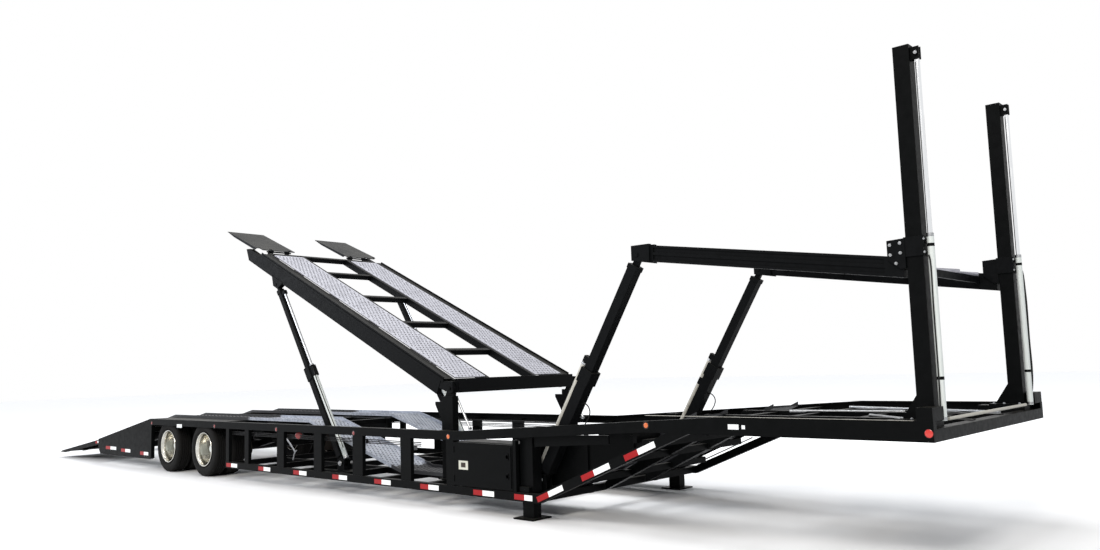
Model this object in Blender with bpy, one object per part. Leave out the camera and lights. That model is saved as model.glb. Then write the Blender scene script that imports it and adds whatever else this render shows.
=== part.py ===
"""Car transporter semi-trailer with a raised rear deck and a mast-lifted front deck.

Frame: +X forward, +Y left, +Z up, metres. The ground is Z = 0.
Distances called D_... run rearward from the front edge of the neck.
"""

import math

import bmesh
import bpy
from mathutils import Matrix, Vector

# Overall sizes
OVERALL_LENGTH = 15.600
OVERALL_WIDTH = 2.590
HALF_WIDTH = OVERALL_WIDTH / 2
FRONT_X = OVERALL_LENGTH / 2
FIT_GAP = 0.0003
SLIDE_GAP = 0.0007

# Side frame, seen from the side
RAIL_TOP = 0.768
RAIL_DEPTH = 0.090
NECK_TOP = 0.972
NECK_BOTTOM = 0.835
D_RAIL_KINK = 4.650
D_NECK_LEVEL = 1.570
D_NECK_BOTTOM_LEVEL = 2.300
D_TAIL_START = 11.690
LOWER_BOTTOM = 0.165
LOWER_TOP = 0.245
D_LOWER_FRONT = 3.517
D_LOWER_REAR = 9.310
FRAME_THICKNESS = 0.060
FRAME_INNER = HALF_WIDTH - FRAME_THICKNESS
WEB = 0.010
FLANGE = 0.012
POST_TABLE = (  # distance behind the front, width along the trailer
    (9.270, 0.080),
    (8.760, 0.100),
    (7.930, 0.160),
    (7.100, 0.160),
    (6.300, 0.190),
    (5.440, 0.170),
    (4.735, 0.110),
    (3.825, 0.040),
)
SKIRT_INNER = HALF_WIDTH - 0.010

# Beavertail and tail ramps
D_TAIL_END = 13.680
TAIL_END_TOP = 0.398
TAIL_PANEL_BOTTOM = 0.160
RAMP_INNER_Y = 0.350
RAMP_OUTER_Y = 1.220
D_RAMP_PIN = 13.760
RAMP_PIN_Z = 0.350
RAMP_TIP_Z = 0.105
RAMP_PIN_RADIUS = 0.016
RAMP_BOSS_R = 0.025

# Running gear
AXLE_TABLE = (("rear", 11.142), ("front", 10.024))
TYRE_RADIUS = 0.372
TYRE_WIDTH = 0.215
RIM_RADIUS = 0.235
OUTER_TYRE_Y = 1.150
INNER_TYRE_Y = 0.905
HUB_PLANE_Y = (OUTER_TYRE_Y + INNER_TYRE_Y) / 2
DRUM_REACH = 0.414
AXLE_END_Y = HUB_PLANE_Y - DRUM_REACH - FIT_GAP
AXLE_TUBE_RADIUS = 0.0635
SPRING_SEAT = 0.440
SPRING_TOP = 0.586
HAND_HOLES = 6
WHEEL_SEGMENTS = 24

# Tracks the wheels of the cars roll on
TRACK_INNER_Y = 0.400
TRACK_OUTER_Y = 0.895
TRACK_LINE = (  # distance behind the front, height of the rolling face
    (13.640, 0.404),
    (11.690, 0.778),
    (7.900, 0.778),
    (6.050, 0.262),
    (3.560, 0.262),
    (2.060, 0.950),
)
TRACK_THICKNESS = 0.010
TRACK_SEAT = TRACK_LINE[3][1] - TRACK_THICKNESS - FIT_GAP
REAR_TRACK_SEAT = TRACK_LINE[1][1] - TRACK_THICKNESS - FIT_GAP
TRACK_LIP = 0.030

# Neck and masts
FRONT_BEAM_TOP = 0.918
FRONT_BEAM_DEPTH = 0.090
MAST_D_FRONT = 0.062
MAST_D_REAR = 0.174
MAST_INNER_Y = 0.979
MAST_OUTER_Y = 1.079
MAST_TOP = 3.550
MAST_WALL = 0.008
LIFT_CYL_D = 0.0240
LIFT_CYL_Y = 1.029
LIFT_BARREL_R = 0.0235
LIFT_BORE_R = 0.0180
LIFT_ROD_R = 0.0165
LIFT_BARREL_BOTTOM = 0.960
LIFT_BARREL_TOP = 2.205
LIFT_ROD_TOP = 3.470

CORNER_BLOCK_D = (0.002, 0.108)
CORNER_BLOCK_Y = (MAST_OUTER_Y + 0.002, HALF_WIDTH - 0.003)
CORNER_BLOCK_Z = (0.9685, 1.058)
NECK_BRACES = (  # distance and y of one end, then of the other
    (0.45, 1.20, 0.93, 0.35),
    (1.53, 0.34, 0.99, 1.20),
)

# Front deck, carried by the mast carriages
CARRIAGE_TOP = 2.205
CARRIAGE_BOTTOM = 2.070
CARRIAGE_CLEAR = 0.0008
DECK_RAIL_INNER_Y = 1.000
DECK_RAIL_OUTER_Y = 1.080
DECK_RAIL_DEPTH = 0.142
DECK_RAIL_SLOPE = 0.1526
DECK_RAIL_FRONT_Z = 2.072
D_DECK_RAIL_FRONT = 0.200
D_DECK_RAIL_REAR = 2.400
FRONT_CROSSBARS = (0.360, 0.960, 1.560, 2.160)
FRONT_TREAD_Y = (0.380, 0.860)

# Telescoping arms under the rear of the front deck
FRONT_ARM_Y = 1.040
FRONT_ARM_BASE = (3.680, 0.345)
FRONT_ARM_TOP = (2.465, 2.325)
FRONT_ARM_OUTER = 0.110
FRONT_ARM_BORE = 0.094
FRONT_ARM_INNER = FRONT_ARM_BORE - 2 * SLIDE_GAP
FRONT_ARM_TONGUE = 0.040
FRONT_ARM_SLEEVE = 1.180
FRONT_ARM_CYL_R = 0.026

# Rear deck, hinged on two stub posts
DECK_ANGLE = math.radians(24.84)
DECK_HINGE = (5.060, 1.190)
DECK_SURFACE_W = 0.073
DECK_BEAM_Y = (0.940, 1.000)
DECK_BEAM_TOP_W = 0.017
DECK_BEAM_BOTTOM_W = -0.138
DECK_BEAM_REAR_U = 4.684
DECK_TREAD_Y = (0.400, 0.850)
DECK_TREAD_U = (0.117, 4.194)
DECK_CROSSBARS = (0.906, 1.775, 2.685, 3.593, 4.277)
FLIP_PIN_U = 4.420
FLIP_PIN_W = 0.048
FLIP_BOSS_R = 0.024
FLIP_PIN_R = 0.011
FLIP_TIP_U = 5.306
FLIP_TIP_W = 0.042
FLIP_Y = (0.440, 1.000)
STUB_POST_Y = (0.915, 0.995)
STUB_POST_D = (5.010, 5.190)
LEVEL_CLEAR = 0.003
DECK_PIN_R = 0.020

# Telescoping lift arms of the rear deck
REAR_ARM_Y = 0.970
REAR_ARM_BASE = (7.030, 0.315)
REAR_ARM_TOP = (8.530, 2.580)
REAR_ARM_OUTER = 0.080
REAR_ARM_BORE = 0.066
REAR_ARM_INNER = REAR_ARM_BORE - 2 * SLIDE_GAP
REAR_ARM_TONGUE = 0.035
REAR_ARM_SLEEVE = 1.380
REAR_ARM_OVERLAP_START = 0.990

# Landing legs and toolboxes
TOOLBOX_D = (3.850, 4.660)
TOOLBOX_Y = (0.950, HALF_WIDTH - 0.0603)
TOOLBOX_Z = (0.262, 0.676)
DOOR_FRONT_D = TOOLBOX_D[0] + 0.001
DOOR_REAR_D = 4.680 - FIT_GAP
DOOR_Y = (HALF_WIDTH - 0.050, HALF_WIDTH - 0.008)
DOOR_HANDLE_Y = (DOOR_Y[1] - 0.012, HALF_WIDTH - 0.0005)
DOOR_HINGE_Y = HALF_WIDTH - 0.007
LEG_LENGTH = 0.160
LEG_CLEARANCE = 0.045
LEG_D = (TOOLBOX_D[0] - LEG_CLEARANCE - LEG_LENGTH, TOOLBOX_D[0] - LEG_CLEARANCE)
LEG_Y = (1.108, 1.228)
LEG_MIDDLE = (sum(LEG_D) / 2, sum(LEG_Y) / 2)
LEG_TOP = 0.830
LEG_WALL = 0.010
FOOT_MARGIN_D = 0.045
FOOT_MARGIN_Y = (0.068, 0.062)

SIDES = (("right", -1), ("left", 1))

MATERIALS = {  # colour, metallic, roughness
    "frame_black": ((0.012, 0.012, 0.013), 0.0, 0.38),
    "deck_black": ((0.016, 0.016, 0.018), 0.0, 0.42),
    "tread_plate": ((0.50, 0.51, 0.53), 1.0, 0.42),
    "bright_steel": ((0.62, 0.63, 0.65), 1.0, 0.22),
    "wheel_aluminium": ((0.70, 0.70, 0.69), 1.0, 0.28),
    "tyre_rubber": ((0.018, 0.018, 0.018), 0.0, 0.85),
    "lamp_red": ((0.55, 0.02, 0.015), 0.0, 0.20),
}


def clear_scene():
    for obj in list(bpy.data.objects):
        bpy.data.objects.remove(obj, do_unlink=True)


def make_materials():
    made = {}
    for name, (colour, metallic, roughness) in MATERIALS.items():
        material = bpy.data.materials.new(name)
        material.use_nodes = True
        shader = material.node_tree.nodes["Principled BSDF"]
        shader.inputs["Base Color"].default_value = (*colour, 1.0)
        shader.inputs["Metallic"].default_value = metallic
        shader.inputs["Roughness"].default_value = roughness
        material.diffuse_color = (*colour, 1.0)
        made[name] = material
    return made


def at(distance, height, y=0.0):
    """A point from its distance behind the front edge of the neck."""
    return Vector((FRONT_X - distance, y, height))


def deck_point(u, w):
    """Side view of the rear deck: u runs rearward along it, w is square to it."""
    cos, sin = math.cos(DECK_ANGLE), math.sin(DECK_ANGLE)
    return (DECK_HINGE[0] + u * cos - w * sin, DECK_HINGE[1] + u * sin + w * cos)


def solid(points, faces):
    mesh = bmesh.new()
    made = [mesh.verts.new(p) for p in points]
    for face in faces:
        mesh.faces.new([made[i] for i in face])
    bmesh.ops.recalc_face_normals(mesh, faces=mesh.faces)
    return mesh


def prism(outline, y0, y1):
    """An outline of (distance, height) pairs, extruded from y0 to y1."""
    count = len(outline)
    points = [at(d, z, y0) for d, z in outline] + [at(d, z, y1) for d, z in outline]
    faces = [tuple(range(count)), tuple(range(2 * count - 1, count - 1, -1))]
    for i in range(count):
        j = (i + 1) % count
        faces.append((i, j, count + j, count + i))
    return solid(points, faces)


def bore_for(radius):
    """Bore of a twelve-sided pin that still clears it when turned."""
    return radius / math.cos(math.pi / 12) + 0.0001


def side_prism(side, outline, inner, outer):
    low, high = sorted((side * inner, side * outer))
    return prism(outline, low, high)


def block(d0, d1, y0, y1, z0, z1):
    return prism(((d0, z0), (d1, z0), (d1, z1), (d0, z1)), y0, y1)


def side_block(side, d0, d1, inner, outer, z0, z1):
    low, high = sorted((side * inner, side * outer))
    return block(d0, d1, low, high, z0, z1)


def rod(start, end, radius, segments=12):
    start, end = Vector(start), Vector(end)
    axis = end - start
    mesh = bmesh.new()
    bmesh.ops.create_cone(
        mesh,
        cap_ends=True,
        segments=segments,
        radius1=radius,
        radius2=radius,
        depth=axis.length,
    )
    turn = axis.to_track_quat("Z", "Y").to_matrix().to_4x4()
    middle = Matrix.Translation((start + end) / 2)
    bmesh.ops.transform(mesh, matrix=middle @ turn, verts=mesh.verts)
    return mesh


def cross_pin(distance, height, y0, y1, radius, segments=12):
    return rod(at(distance, height, y0), at(distance, height, y1), radius, segments)


def bar(start, end, width, height):
    """A square bar between two points; width lies along Y, height in the side view."""
    start, end = Vector(start), Vector(end)
    along = (end - start).normalized()
    side = Vector((0, 1, 0))
    up = along.cross(side).normalized()
    side = up.cross(along).normalized()
    corners = ((-1, -1), (1, -1), (1, 1), (-1, 1))
    points = []
    for base in (start, end):
        for a, b in corners:
            points.append(base + side * (a * width / 2) + up * (b * height / 2))
    faces = [(0, 1, 2, 3), (7, 6, 5, 4)]
    for i in range(4):
        j = (i + 1) % 4
        faces.append((i, j, 4 + j, 4 + i))
    return solid(points, faces)


def flat_bar(start, end, width, height):
    """A square bar that runs across the trailer or along it, width lying level."""
    start, end = Vector(start), Vector(end)
    along = (end - start).normalized()
    side = along.cross(Vector((0, 0, 1))).normalized()
    up = side.cross(along).normalized()
    points = []
    for base in (start, end):
        for a, b in ((-1, -1), (1, -1), (1, 1), (-1, 1)):
            points.append(base + side * (a * width / 2) + up * (b * height / 2))
    faces = [(0, 1, 2, 3), (7, 6, 5, 4)]
    for i in range(4):
        j = (i + 1) % 4
        faces.append((i, j, 4 + j, 4 + i))
    return solid(points, faces)


def revolve(profile, centre, segments):
    """A closed profile of (radius, offset along Y) pairs turned about the Y axis."""
    mesh = bmesh.new()
    rings = []
    for radius, offset in profile:
        if radius < 1e-6:
            rings.append([mesh.verts.new(centre + Vector((0, offset, 0)))])
            continue
        ring = []
        for i in range(segments):
            angle = 2 * math.pi * i / segments
            spoke = Vector((radius * math.cos(angle), offset, radius * math.sin(angle)))
            ring.append(mesh.verts.new(centre + spoke))
        rings.append(ring)
    for first, second in zip(rings, rings[1:] + rings[:1]):
        for i in range(segments):
            j = (i + 1) % segments
            if len(first) == 1 and len(second) == 1:
                continue
            if len(first) == 1:
                mesh.faces.new((first[0], second[i], second[j]))
            elif len(second) == 1:
                mesh.faces.new((first[i], first[j], second[0]))
            else:
                mesh.faces.new((first[i], first[j], second[j], second[i]))
    bmesh.ops.recalc_face_normals(mesh, faces=mesh.faces)
    return mesh


def keep(mesh, name):
    data = bpy.data.meshes.new(name)
    mesh.to_mesh(data)
    mesh.free()
    obj = bpy.data.objects.new(name, data)
    bpy.context.scene.collection.objects.link(obj)
    return obj


def joined(obj, operation, meshes):
    """Adds or cuts the given meshes, then bakes the result into the object."""
    if not meshes:
        return
    helpers = bpy.data.collections.new("helpers")
    bpy.context.scene.collection.children.link(helpers)
    for mesh in meshes:
        data = bpy.data.meshes.new("helper")
        mesh.to_mesh(data)
        mesh.free()
        helper = bpy.data.objects.new("helper", data)
        helper.hide_render = True
        helper.display_type = "WIRE"
        helpers.objects.link(helper)
    modifier = obj.modifiers.new("join", "BOOLEAN")
    modifier.operation = operation
    modifier.solver = "EXACT"
    modifier.operand_type = "COLLECTION"
    modifier.collection = helpers
    graph = bpy.context.evaluated_depsgraph_get()
    data = bpy.data.meshes.new_from_object(obj.evaluated_get(graph))
    obj.modifiers.clear()
    obj.data = data
    for helper in list(helpers.objects):
        bpy.data.objects.remove(helper, do_unlink=True)
    bpy.data.collections.remove(helpers)


def tidy(obj):
    mesh = bmesh.new()
    mesh.from_mesh(obj.data)
    bmesh.ops.remove_doubles(mesh, verts=mesh.verts, dist=0.00002)
    bmesh.ops.dissolve_limit(
        mesh,
        angle_limit=math.radians(0.1),
        verts=mesh.verts,
        edges=mesh.edges,
    )
    bmesh.ops.triangulate(mesh, faces=mesh.faces)
    bmesh.ops.recalc_face_normals(mesh, faces=mesh.faces)
    if mesh.calc_volume(signed=True) < 0:
        bmesh.ops.reverse_faces(mesh, faces=mesh.faces)
    mesh.to_mesh(obj.data)
    mesh.free()


def node(name, material, solids, cuts=(), later=(), holes=(), origin=None):
    """One named body: solids joined, cuts taken out, later solids joined, holes last."""
    obj = keep(solids[0], name)
    joined(obj, "UNION", list(solids[1:]))
    joined(obj, "DIFFERENCE", list(cuts))
    joined(obj, "UNION", list(later))
    joined(obj, "DIFFERENCE", list(holes))
    tidy(obj)
    if origin is not None:
        obj.data.transform(Matrix.Translation(-Vector(origin)))
        obj.location = origin
    obj.data.materials.clear()
    obj.data.materials.append(PAINTS[material])
    return obj


def rail_outline(margin):
    """The upper rail, level at the rear and rising to the neck."""
    kink_top = RAIL_TOP + 0.010
    return (
        (D_TAIL_START + 0.02 - margin, RAIL_TOP - RAIL_DEPTH + margin),
        (D_RAIL_KINK, kink_top - RAIL_DEPTH + margin),
        (D_NECK_BOTTOM_LEVEL, NECK_BOTTOM + margin),
        (margin, NECK_BOTTOM + margin),
        (margin, NECK_TOP - margin),
        (D_NECK_LEVEL, NECK_TOP - margin),
        (D_RAIL_KINK, kink_top - margin),
        (D_TAIL_START + 0.02 - margin, RAIL_TOP - margin),
    )


def side_frame(name, side):
    """Upper rail, lower rail, sloping rail, posts and the tail panel of one side."""
    outer = HALF_WIDTH
    solids = [side_prism(side, rail_outline(0.0), FRAME_INNER, outer)]
    cuts = [side_prism(side, rail_outline(FLANGE), FRAME_INNER - 0.05, outer - WEB)]
    for _, distance in AXLE_TABLE:
        reach = TYRE_RADIUS + 0.040
        cuts.append(
            side_block(side, distance - reach, distance + reach, 1.0, SKIRT_INNER, 0.5, 0.7555)
        )
    lower = (
        (D_LOWER_FRONT, LOWER_BOTTOM),
        (D_LOWER_REAR, LOWER_BOTTOM),
        (D_LOWER_REAR, LOWER_TOP),
        (D_LOWER_FRONT - 0.10, LOWER_TOP),
    )
    later = [side_prism(side, lower, FRAME_INNER, outer - 0.0006)]
    slope = (
        (D_LOWER_FRONT + 0.09, LOWER_BOTTOM + 0.005),
        (D_LOWER_FRONT - 0.005, LOWER_BOTTOM + 0.001),
        (1.860, NECK_BOTTOM + 0.010),
        (2.060, NECK_BOTTOM + 0.014),
        (D_LOWER_FRONT - 0.03, LOWER_BOTTOM + 0.098),
    )
    later.append(side_prism(side, slope, FRAME_INNER + 0.001, outer - 0.0012))
    d0, d1 = CORNER_BLOCK_D
    y0, y1 = CORNER_BLOCK_Y
    later.append(side_block(side, d0, d1, y0, y1, CORNER_BLOCK_Z[0], CORNER_BLOCK_Z[1]))
    for distance, width in POST_TABLE:
        low, high = LOWER_TOP - 0.02, RAIL_TOP - RAIL_DEPTH + 0.04
        later.append(
            side_block(
                side,
                distance - width / 2,
                distance + width / 2,
                FRAME_INNER + 0.008,
                outer - 0.005,
                low,
                high,
            )
        )
    tail = (
        (D_TAIL_START - 0.06, RAIL_TOP - 0.004),
        (D_TAIL_START - 0.06, TAIL_PANEL_BOTTOM + 0.02),
        (D_TAIL_START, TAIL_PANEL_BOTTOM),
        (D_TAIL_END - 0.09, TAIL_PANEL_BOTTOM),
        (D_TAIL_END, TAIL_PANEL_BOTTOM + 0.10),
        (D_TAIL_END, TAIL_END_TOP),
        (D_TAIL_START, RAIL_TOP - 0.002),
    )
    later.append(side_prism(side, tail, FRAME_INNER + 0.002, outer - 0.0018))
    return node(name, "frame_black", solids, cuts, later, origin=at(6.3, 0.45, side * 1.265))


def belly_frame():
    """Ladder frame under the low middle of the lower deck."""
    reach = FRAME_INNER - FIT_GAP
    solids = []
    for side in (-1, 1):
        solids.append(
            side_block(side, D_LOWER_FRONT + 0.02, 6.000, 0.500, 0.560, 0.168, TRACK_SEAT)
        )
        solids.append(
            side_block(side, 5.950, D_LOWER_REAR - 0.02, 0.500, 0.560, 0.1685, 0.2385)
        )
    for distance in (3.560, 4.350, 5.150, 5.950, 6.750, 7.550, 8.400, 9.260):
        solids.append(block(distance - 0.03, distance + 0.03, -reach, reach, 0.172, 0.240))
    for side in (-1, 1):
        for y in (REAR_ARM_Y,):
            d, z = REAR_ARM_BASE
            for offset in (-0.036, 0.036):
                low = side * y + offset - 0.007
                solids.append(block(d - 0.07, d + 0.07, low, low + 0.014, 0.200, z + 0.045))
            solids.append(side_block(side, d - 0.32, d - 0.06, y - 0.06, y + 0.06, 0.180, 0.236))
            solids.append(block(d - 0.09, d + 0.09, side * y - 0.06, side * y + 0.06, 0.176, 0.224))
            solids.append(cross_pin(d, z, side * y - 0.050, side * y + 0.050, DECK_PIN_R))
        solids.append(
            side_block(side, 6.700, 7.600, REAR_ARM_Y - 0.05, REAR_ARM_Y + 0.05, 0.180, 0.222)
        )
    for side in (-1, 1):
        d, z = FRONT_ARM_BASE
        for offset in (-0.036, 0.036):
            low = side * FRONT_ARM_Y + offset - 0.007
            solids.append(block(d - 0.06, d + 0.06, low, low + 0.014, 0.200, z + 0.045))
        solids.append(
            side_block(side, d - 0.11, d + 0.20, FRONT_ARM_Y - 0.06, FRONT_ARM_Y + 0.06, 0.180, 0.232)
        )
        solids.append(
            cross_pin(d, z, side * FRONT_ARM_Y - 0.050, side * FRONT_ARM_Y + 0.050, DECK_PIN_R)
        )
    return node("belly_frame", "frame_black", solids, origin=at(6.4, 0.21))


def rear_frame():
    """Twin beams over the axles, their cross members, fender plates and hangers."""
    reach = FRAME_INNER - FIT_GAP
    solids = []
    for side in (-1, 1):
        solids.append(side_block(side, 7.860, 11.700, 0.300, 0.380, 0.600, 0.748))
        solids.append(side_block(side, 9.480, 11.680, 0.372, reach, 0.7590, REAR_TRACK_SEAT))
        for _, distance in AXLE_TABLE:
            pivot = distance - 0.42
            solids.append(side_block(side, pivot - 0.06, pivot + 0.06, 0.318, 0.362, 0.420, 0.61))
            low = SPRING_TOP + FIT_GAP
            solids.append(
                side_block(side, distance + 0.09, distance + 0.31, 0.372, 0.600, low, low + 0.03)
            )
            solids.append(
                side_block(side, distance + 0.11, distance + 0.29, 0.340, 0.376, low, 0.640)
            )
    for distance in (9.470, 10.583, 11.665):
        solids.append(block(distance - 0.035, distance + 0.035, -reach, reach, 0.690, 0.760))
    for distance, half in ((7.930, 0.890), (8.700, reach)):
        solids.append(block(distance - 0.035, distance + 0.035, -half, half, 0.686, 0.750))
    return node("rear_frame", "frame_black", solids, origin=at(10.0, 0.70))


def tail_frame():
    """Bars under the sloping tail and the hinge beam of the tail ramps."""
    reach = FRAME_INNER + 0.002 - FIT_GAP
    slope = (TAIL_END_TOP - RAIL_TOP) / (D_TAIL_END - D_TAIL_START)
    solids = []
    for side in (-1, 1):
        outline = (
            (11.730, 0.680),
            (13.660, 0.315),
            (13.660, 0.240),
            (11.730, 0.560),
        )
        solids.append(side_prism(side, outline, 0.600, 0.680))
    for distance in (11.800, 12.420, 13.040):
        top = RAIL_TOP + slope * (distance - D_TAIL_START) - 0.030
        solids.append(block(distance - 0.03, distance + 0.03, -reach, reach, top - 0.075, top))
    solids.append(block(13.600, 13.668, -reach, reach, 0.200, 0.372))
    for side in (-1, 1):
        for y in (0.450, 0.785, 1.120):
            low = side * y
            boss = []
            for degrees in range(-50, 180, 25):  # round the pin, rear to front
                angle = math.radians(degrees)
                boss.append(
                    (
                        D_RAMP_PIN + RAMP_BOSS_R * math.cos(angle),
                        RAMP_PIN_Z + RAMP_BOSS_R * math.sin(angle),
                    )
                )
            neck = (
                (D_RAMP_PIN - 0.042, RAMP_PIN_Z - 0.001),
                (13.640, RAMP_PIN_Z - 0.003),
                (13.640, 0.280),
            )
            solids.append(prism(tuple(boss) + neck, low - 0.012, low + 0.012))
        solids.append(
            cross_pin(D_RAMP_PIN, RAMP_PIN_Z, side * 0.400, side * 1.170, RAMP_PIN_RADIUS)
        )
    return node("tail_frame", "frame_black", solids, origin=at(12.7, 0.45))


def track(name, side):
    """Folded tread plate from the tail over the axles, down to the belly and up the neck."""
    top = list(TRACK_LINE)
    under = [(d, z - TRACK_THICKNESS) for d, z in reversed(top)]
    inner, outer = TRACK_INNER_Y, TRACK_OUTER_Y
    sheet = side_prism(side, tuple(top + under), inner, outer)
    lips = []
    for y in (inner, outer - 0.008):
        raised = [(d, z + TRACK_LIP) for d, z in top]
        raised[0] = (top[0][0] - 0.05, top[0][1] + TRACK_LIP)
        lips.append(side_prism(side, tuple(raised + under), y, y + 0.008))
    return node(name, "tread_plate", [sheet] + lips, origin=at(6.0, 0.5, side * 0.65))


def king_pin_plate():
    """Coupling plate under the neck with the king pin and its collar."""
    solids = [block(0.440, 1.540, -0.340, 0.340, 0.8355, 0.8480)]
    solids.append(rod(at(0.920, 0.840), at(0.920, 0.760), 0.0445, 24))
    solids.append(rod(at(0.920, 0.770), at(0.920, 0.745), 0.0365, 24))
    solids.append(rod(at(0.920, 0.750), at(0.920, 0.722), 0.0445, 24))
    return solids


def neck_frame():
    """Front beam, open floor of the neck and the frame of the slope below it."""
    reach = FRAME_INNER - FIT_GAP
    solids = [block(0.0, FRONT_BEAM_DEPTH, -reach, reach, NECK_BOTTOM, FRONT_BEAM_TOP)]
    for side in (-1, 1):
        solids.append(side_block(side, 0.05, 2.330, 0.300, 0.370, 0.845, 0.925))
        solids.append(side_block(side, 0.05, 0.42, 0.950, 1.110, 0.842, 0.956))
        outline = ((2.220, 0.915), (2.220, 0.850), (2.340, 0.735), (3.500, 0.180), (3.500, 0.262))
        outline = outline + ((2.400, 0.820), (2.330, 0.915))
        solids.append(side_prism(side, outline, 0.290, 0.360))
    for distance in (0.420, 0.960, 1.560, 1.985):
        solids.append(block(distance - 0.03, distance + 0.03, -reach, reach, 0.850, 0.915))
    solids.append(block(2.320, 2.380, -reach, reach, 0.700, 0.770))
    solids.append(block(2.290, 2.400, -0.365, 0.365, 0.740, 0.800))
    for distance, height in ((2.760, 0.540), (3.200, 0.335)):
        solids.append(block(distance - 0.03, distance + 0.03, -0.92, 0.92, height, height + 0.060))
    for d0, y0, d1, y1 in NECK_BRACES:
        for side in (-1, 1):
            solids.append(flat_bar(at(d0, 0.885, side * y0), at(d1, 0.885, side * y1), 0.05, 0.05))
    return node("neck_frame", "frame_black", solids + king_pin_plate(), origin=at(1.2, 0.88))


def recess_wall(side):
    """Inner side wall of the recess the front arm stands in."""
    outline = (
        (3.860, 0.262),
        (3.440, 0.300),
        (2.420, 0.740),
        (2.420, 0.840),
        (3.860, 0.670),
    )
    solids = [side_prism(side, outline, 0.925, 0.937)]
    for distance in (2.700, 3.230):
        low = 0.640 if distance < 3 else 0.410
        solids.append(
            side_block(side, distance - 0.02, distance + 0.02, 0.933, 0.955, low, 0.770)
        )
    solids.append(side_block(side, 2.430, 2.470, 0.930, FRAME_INNER - FIT_GAP, 0.738, 0.836))
    solids.append(side_block(side, 3.840, 3.900, 0.926, 0.956, 0.270, 0.660))
    return solids


def mast(name, side):
    """Square mast with a foot, gussets and the bracket for the rod at its top."""
    solids = [side_block(side, MAST_D_FRONT, MAST_D_REAR, MAST_INNER_Y, MAST_OUTER_Y, 0.9563, MAST_TOP)]
    hollow = side_block(
        side,
        MAST_D_FRONT + MAST_WALL,
        MAST_D_REAR - MAST_WALL,
        MAST_INNER_Y + MAST_WALL,
        MAST_OUTER_Y - MAST_WALL,
        0.90,
        MAST_TOP - 0.010,
    )
    later = [
        side_block(side, 0.0605, 0.330, 0.960, 1.100, 0.9563, 0.968),
        side_block(side, 0.004, MAST_D_FRONT + 0.004, 1.008, 1.014, 3.440, 3.530),
        side_block(side, 0.004, MAST_D_FRONT + 0.004, 1.044, 1.050, 3.440, 3.530),
        cross_pin(LIFT_CYL_D, LIFT_ROD_TOP + 0.012, side * 0.998, side * 1.060, 0.009, 12),
        side_prism(side, ((0.170, 0.960), (0.300, 0.960), (0.170, 1.160)), 1.024, 1.034),
    ]
    centre = at(0.118, 0.9563, side * LIFT_CYL_Y)
    return node(name, "frame_black", solids, (), later, [hollow], origin=centre)


def mast_rod(name, side):
    eye = side_block(side, LIFT_CYL_D - 0.014, LIFT_CYL_D + 0.014, 1.0145, 1.0435, 3.420, 3.500)
    shaft = rod(
        at(LIFT_CYL_D, 2.050, side * LIFT_CYL_Y),
        at(LIFT_CYL_D, 3.435, side * LIFT_CYL_Y),
        LIFT_ROD_R,
        16,
    )
    bore = cross_pin(LIFT_CYL_D, LIFT_ROD_TOP + 0.012, side * 1.00, side * 1.06, 0.0095, 12)
    return node(
        name,
        "bright_steel",
        [shaft, eye],
        [bore],
        origin=at(LIFT_CYL_D, LIFT_ROD_TOP + 0.012, side * LIFT_CYL_Y),
    )


def mast_barrel(name, side):
    """Barrel that climbs the fixed rod together with the carriage."""
    y = side * LIFT_CYL_Y
    solids = [
        rod(at(LIFT_CYL_D, LIFT_BARREL_BOTTOM, y), at(LIFT_CYL_D, LIFT_BARREL_TOP, y), LIFT_BARREL_R, 20)
    ]
    cuts = [
        rod(at(LIFT_CYL_D, 0.985, y), at(LIFT_CYL_D, 2.30, y), LIFT_BORE_R, 20),
    ]
    return node(name, "bright_steel", solids, cuts, origin=at(LIFT_CYL_D, LIFT_BARREL_BOTTOM, y))


def carriage(name, side):
    """Sleeve that runs on the mast, with the bracket of the deck rail behind it."""
    low, high = CARRIAGE_BOTTOM, CARRIAGE_TOP
    d0 = MAST_D_FRONT - CARRIAGE_CLEAR
    d1 = MAST_D_REAR + CARRIAGE_CLEAR
    y0 = MAST_INNER_Y - CARRIAGE_CLEAR
    y1 = MAST_OUTER_Y + CARRIAGE_CLEAR
    solids = [side_block(side, d0 - 0.008, d1 + 0.010, y0 - 0.012, y1 + 0.012, low, high)]
    cuts = [side_block(side, d0, d1, y0, y1, low - 0.05, high + 0.05)]
    plate = (
        (d1 + 0.002, high - 0.006),
        (0.300, high - 0.012),
        (0.300, 2.060),
        (0.215, 1.990),
        (d1 + 0.002, 1.990),
    )
    later = [
        side_prism(side, plate, 1.0806, 1.096),
        side_prism(side, plate, 0.9820, 0.9994),
        side_block(side, d1 + 0.002, d1 + 0.012, y0 - 0.004, y1 + 0.004, 1.990, high - 0.01),
    ]
    seat = LIFT_CYL_D + LIFT_BARREL_R + FIT_GAP
    for z in (2.090, 2.170):
        later.append(side_block(side, seat, d0 - 0.002, 1.000, 1.058, z - 0.014, z + 0.014))
    return node(name, "deck_black", solids, cuts, later, origin=at(0.118, low, side * LIFT_CYL_Y))


def rail_height(distance):
    return DECK_RAIL_FRONT_Z + (distance - D_DECK_RAIL_FRONT) * DECK_RAIL_SLOPE


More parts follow.
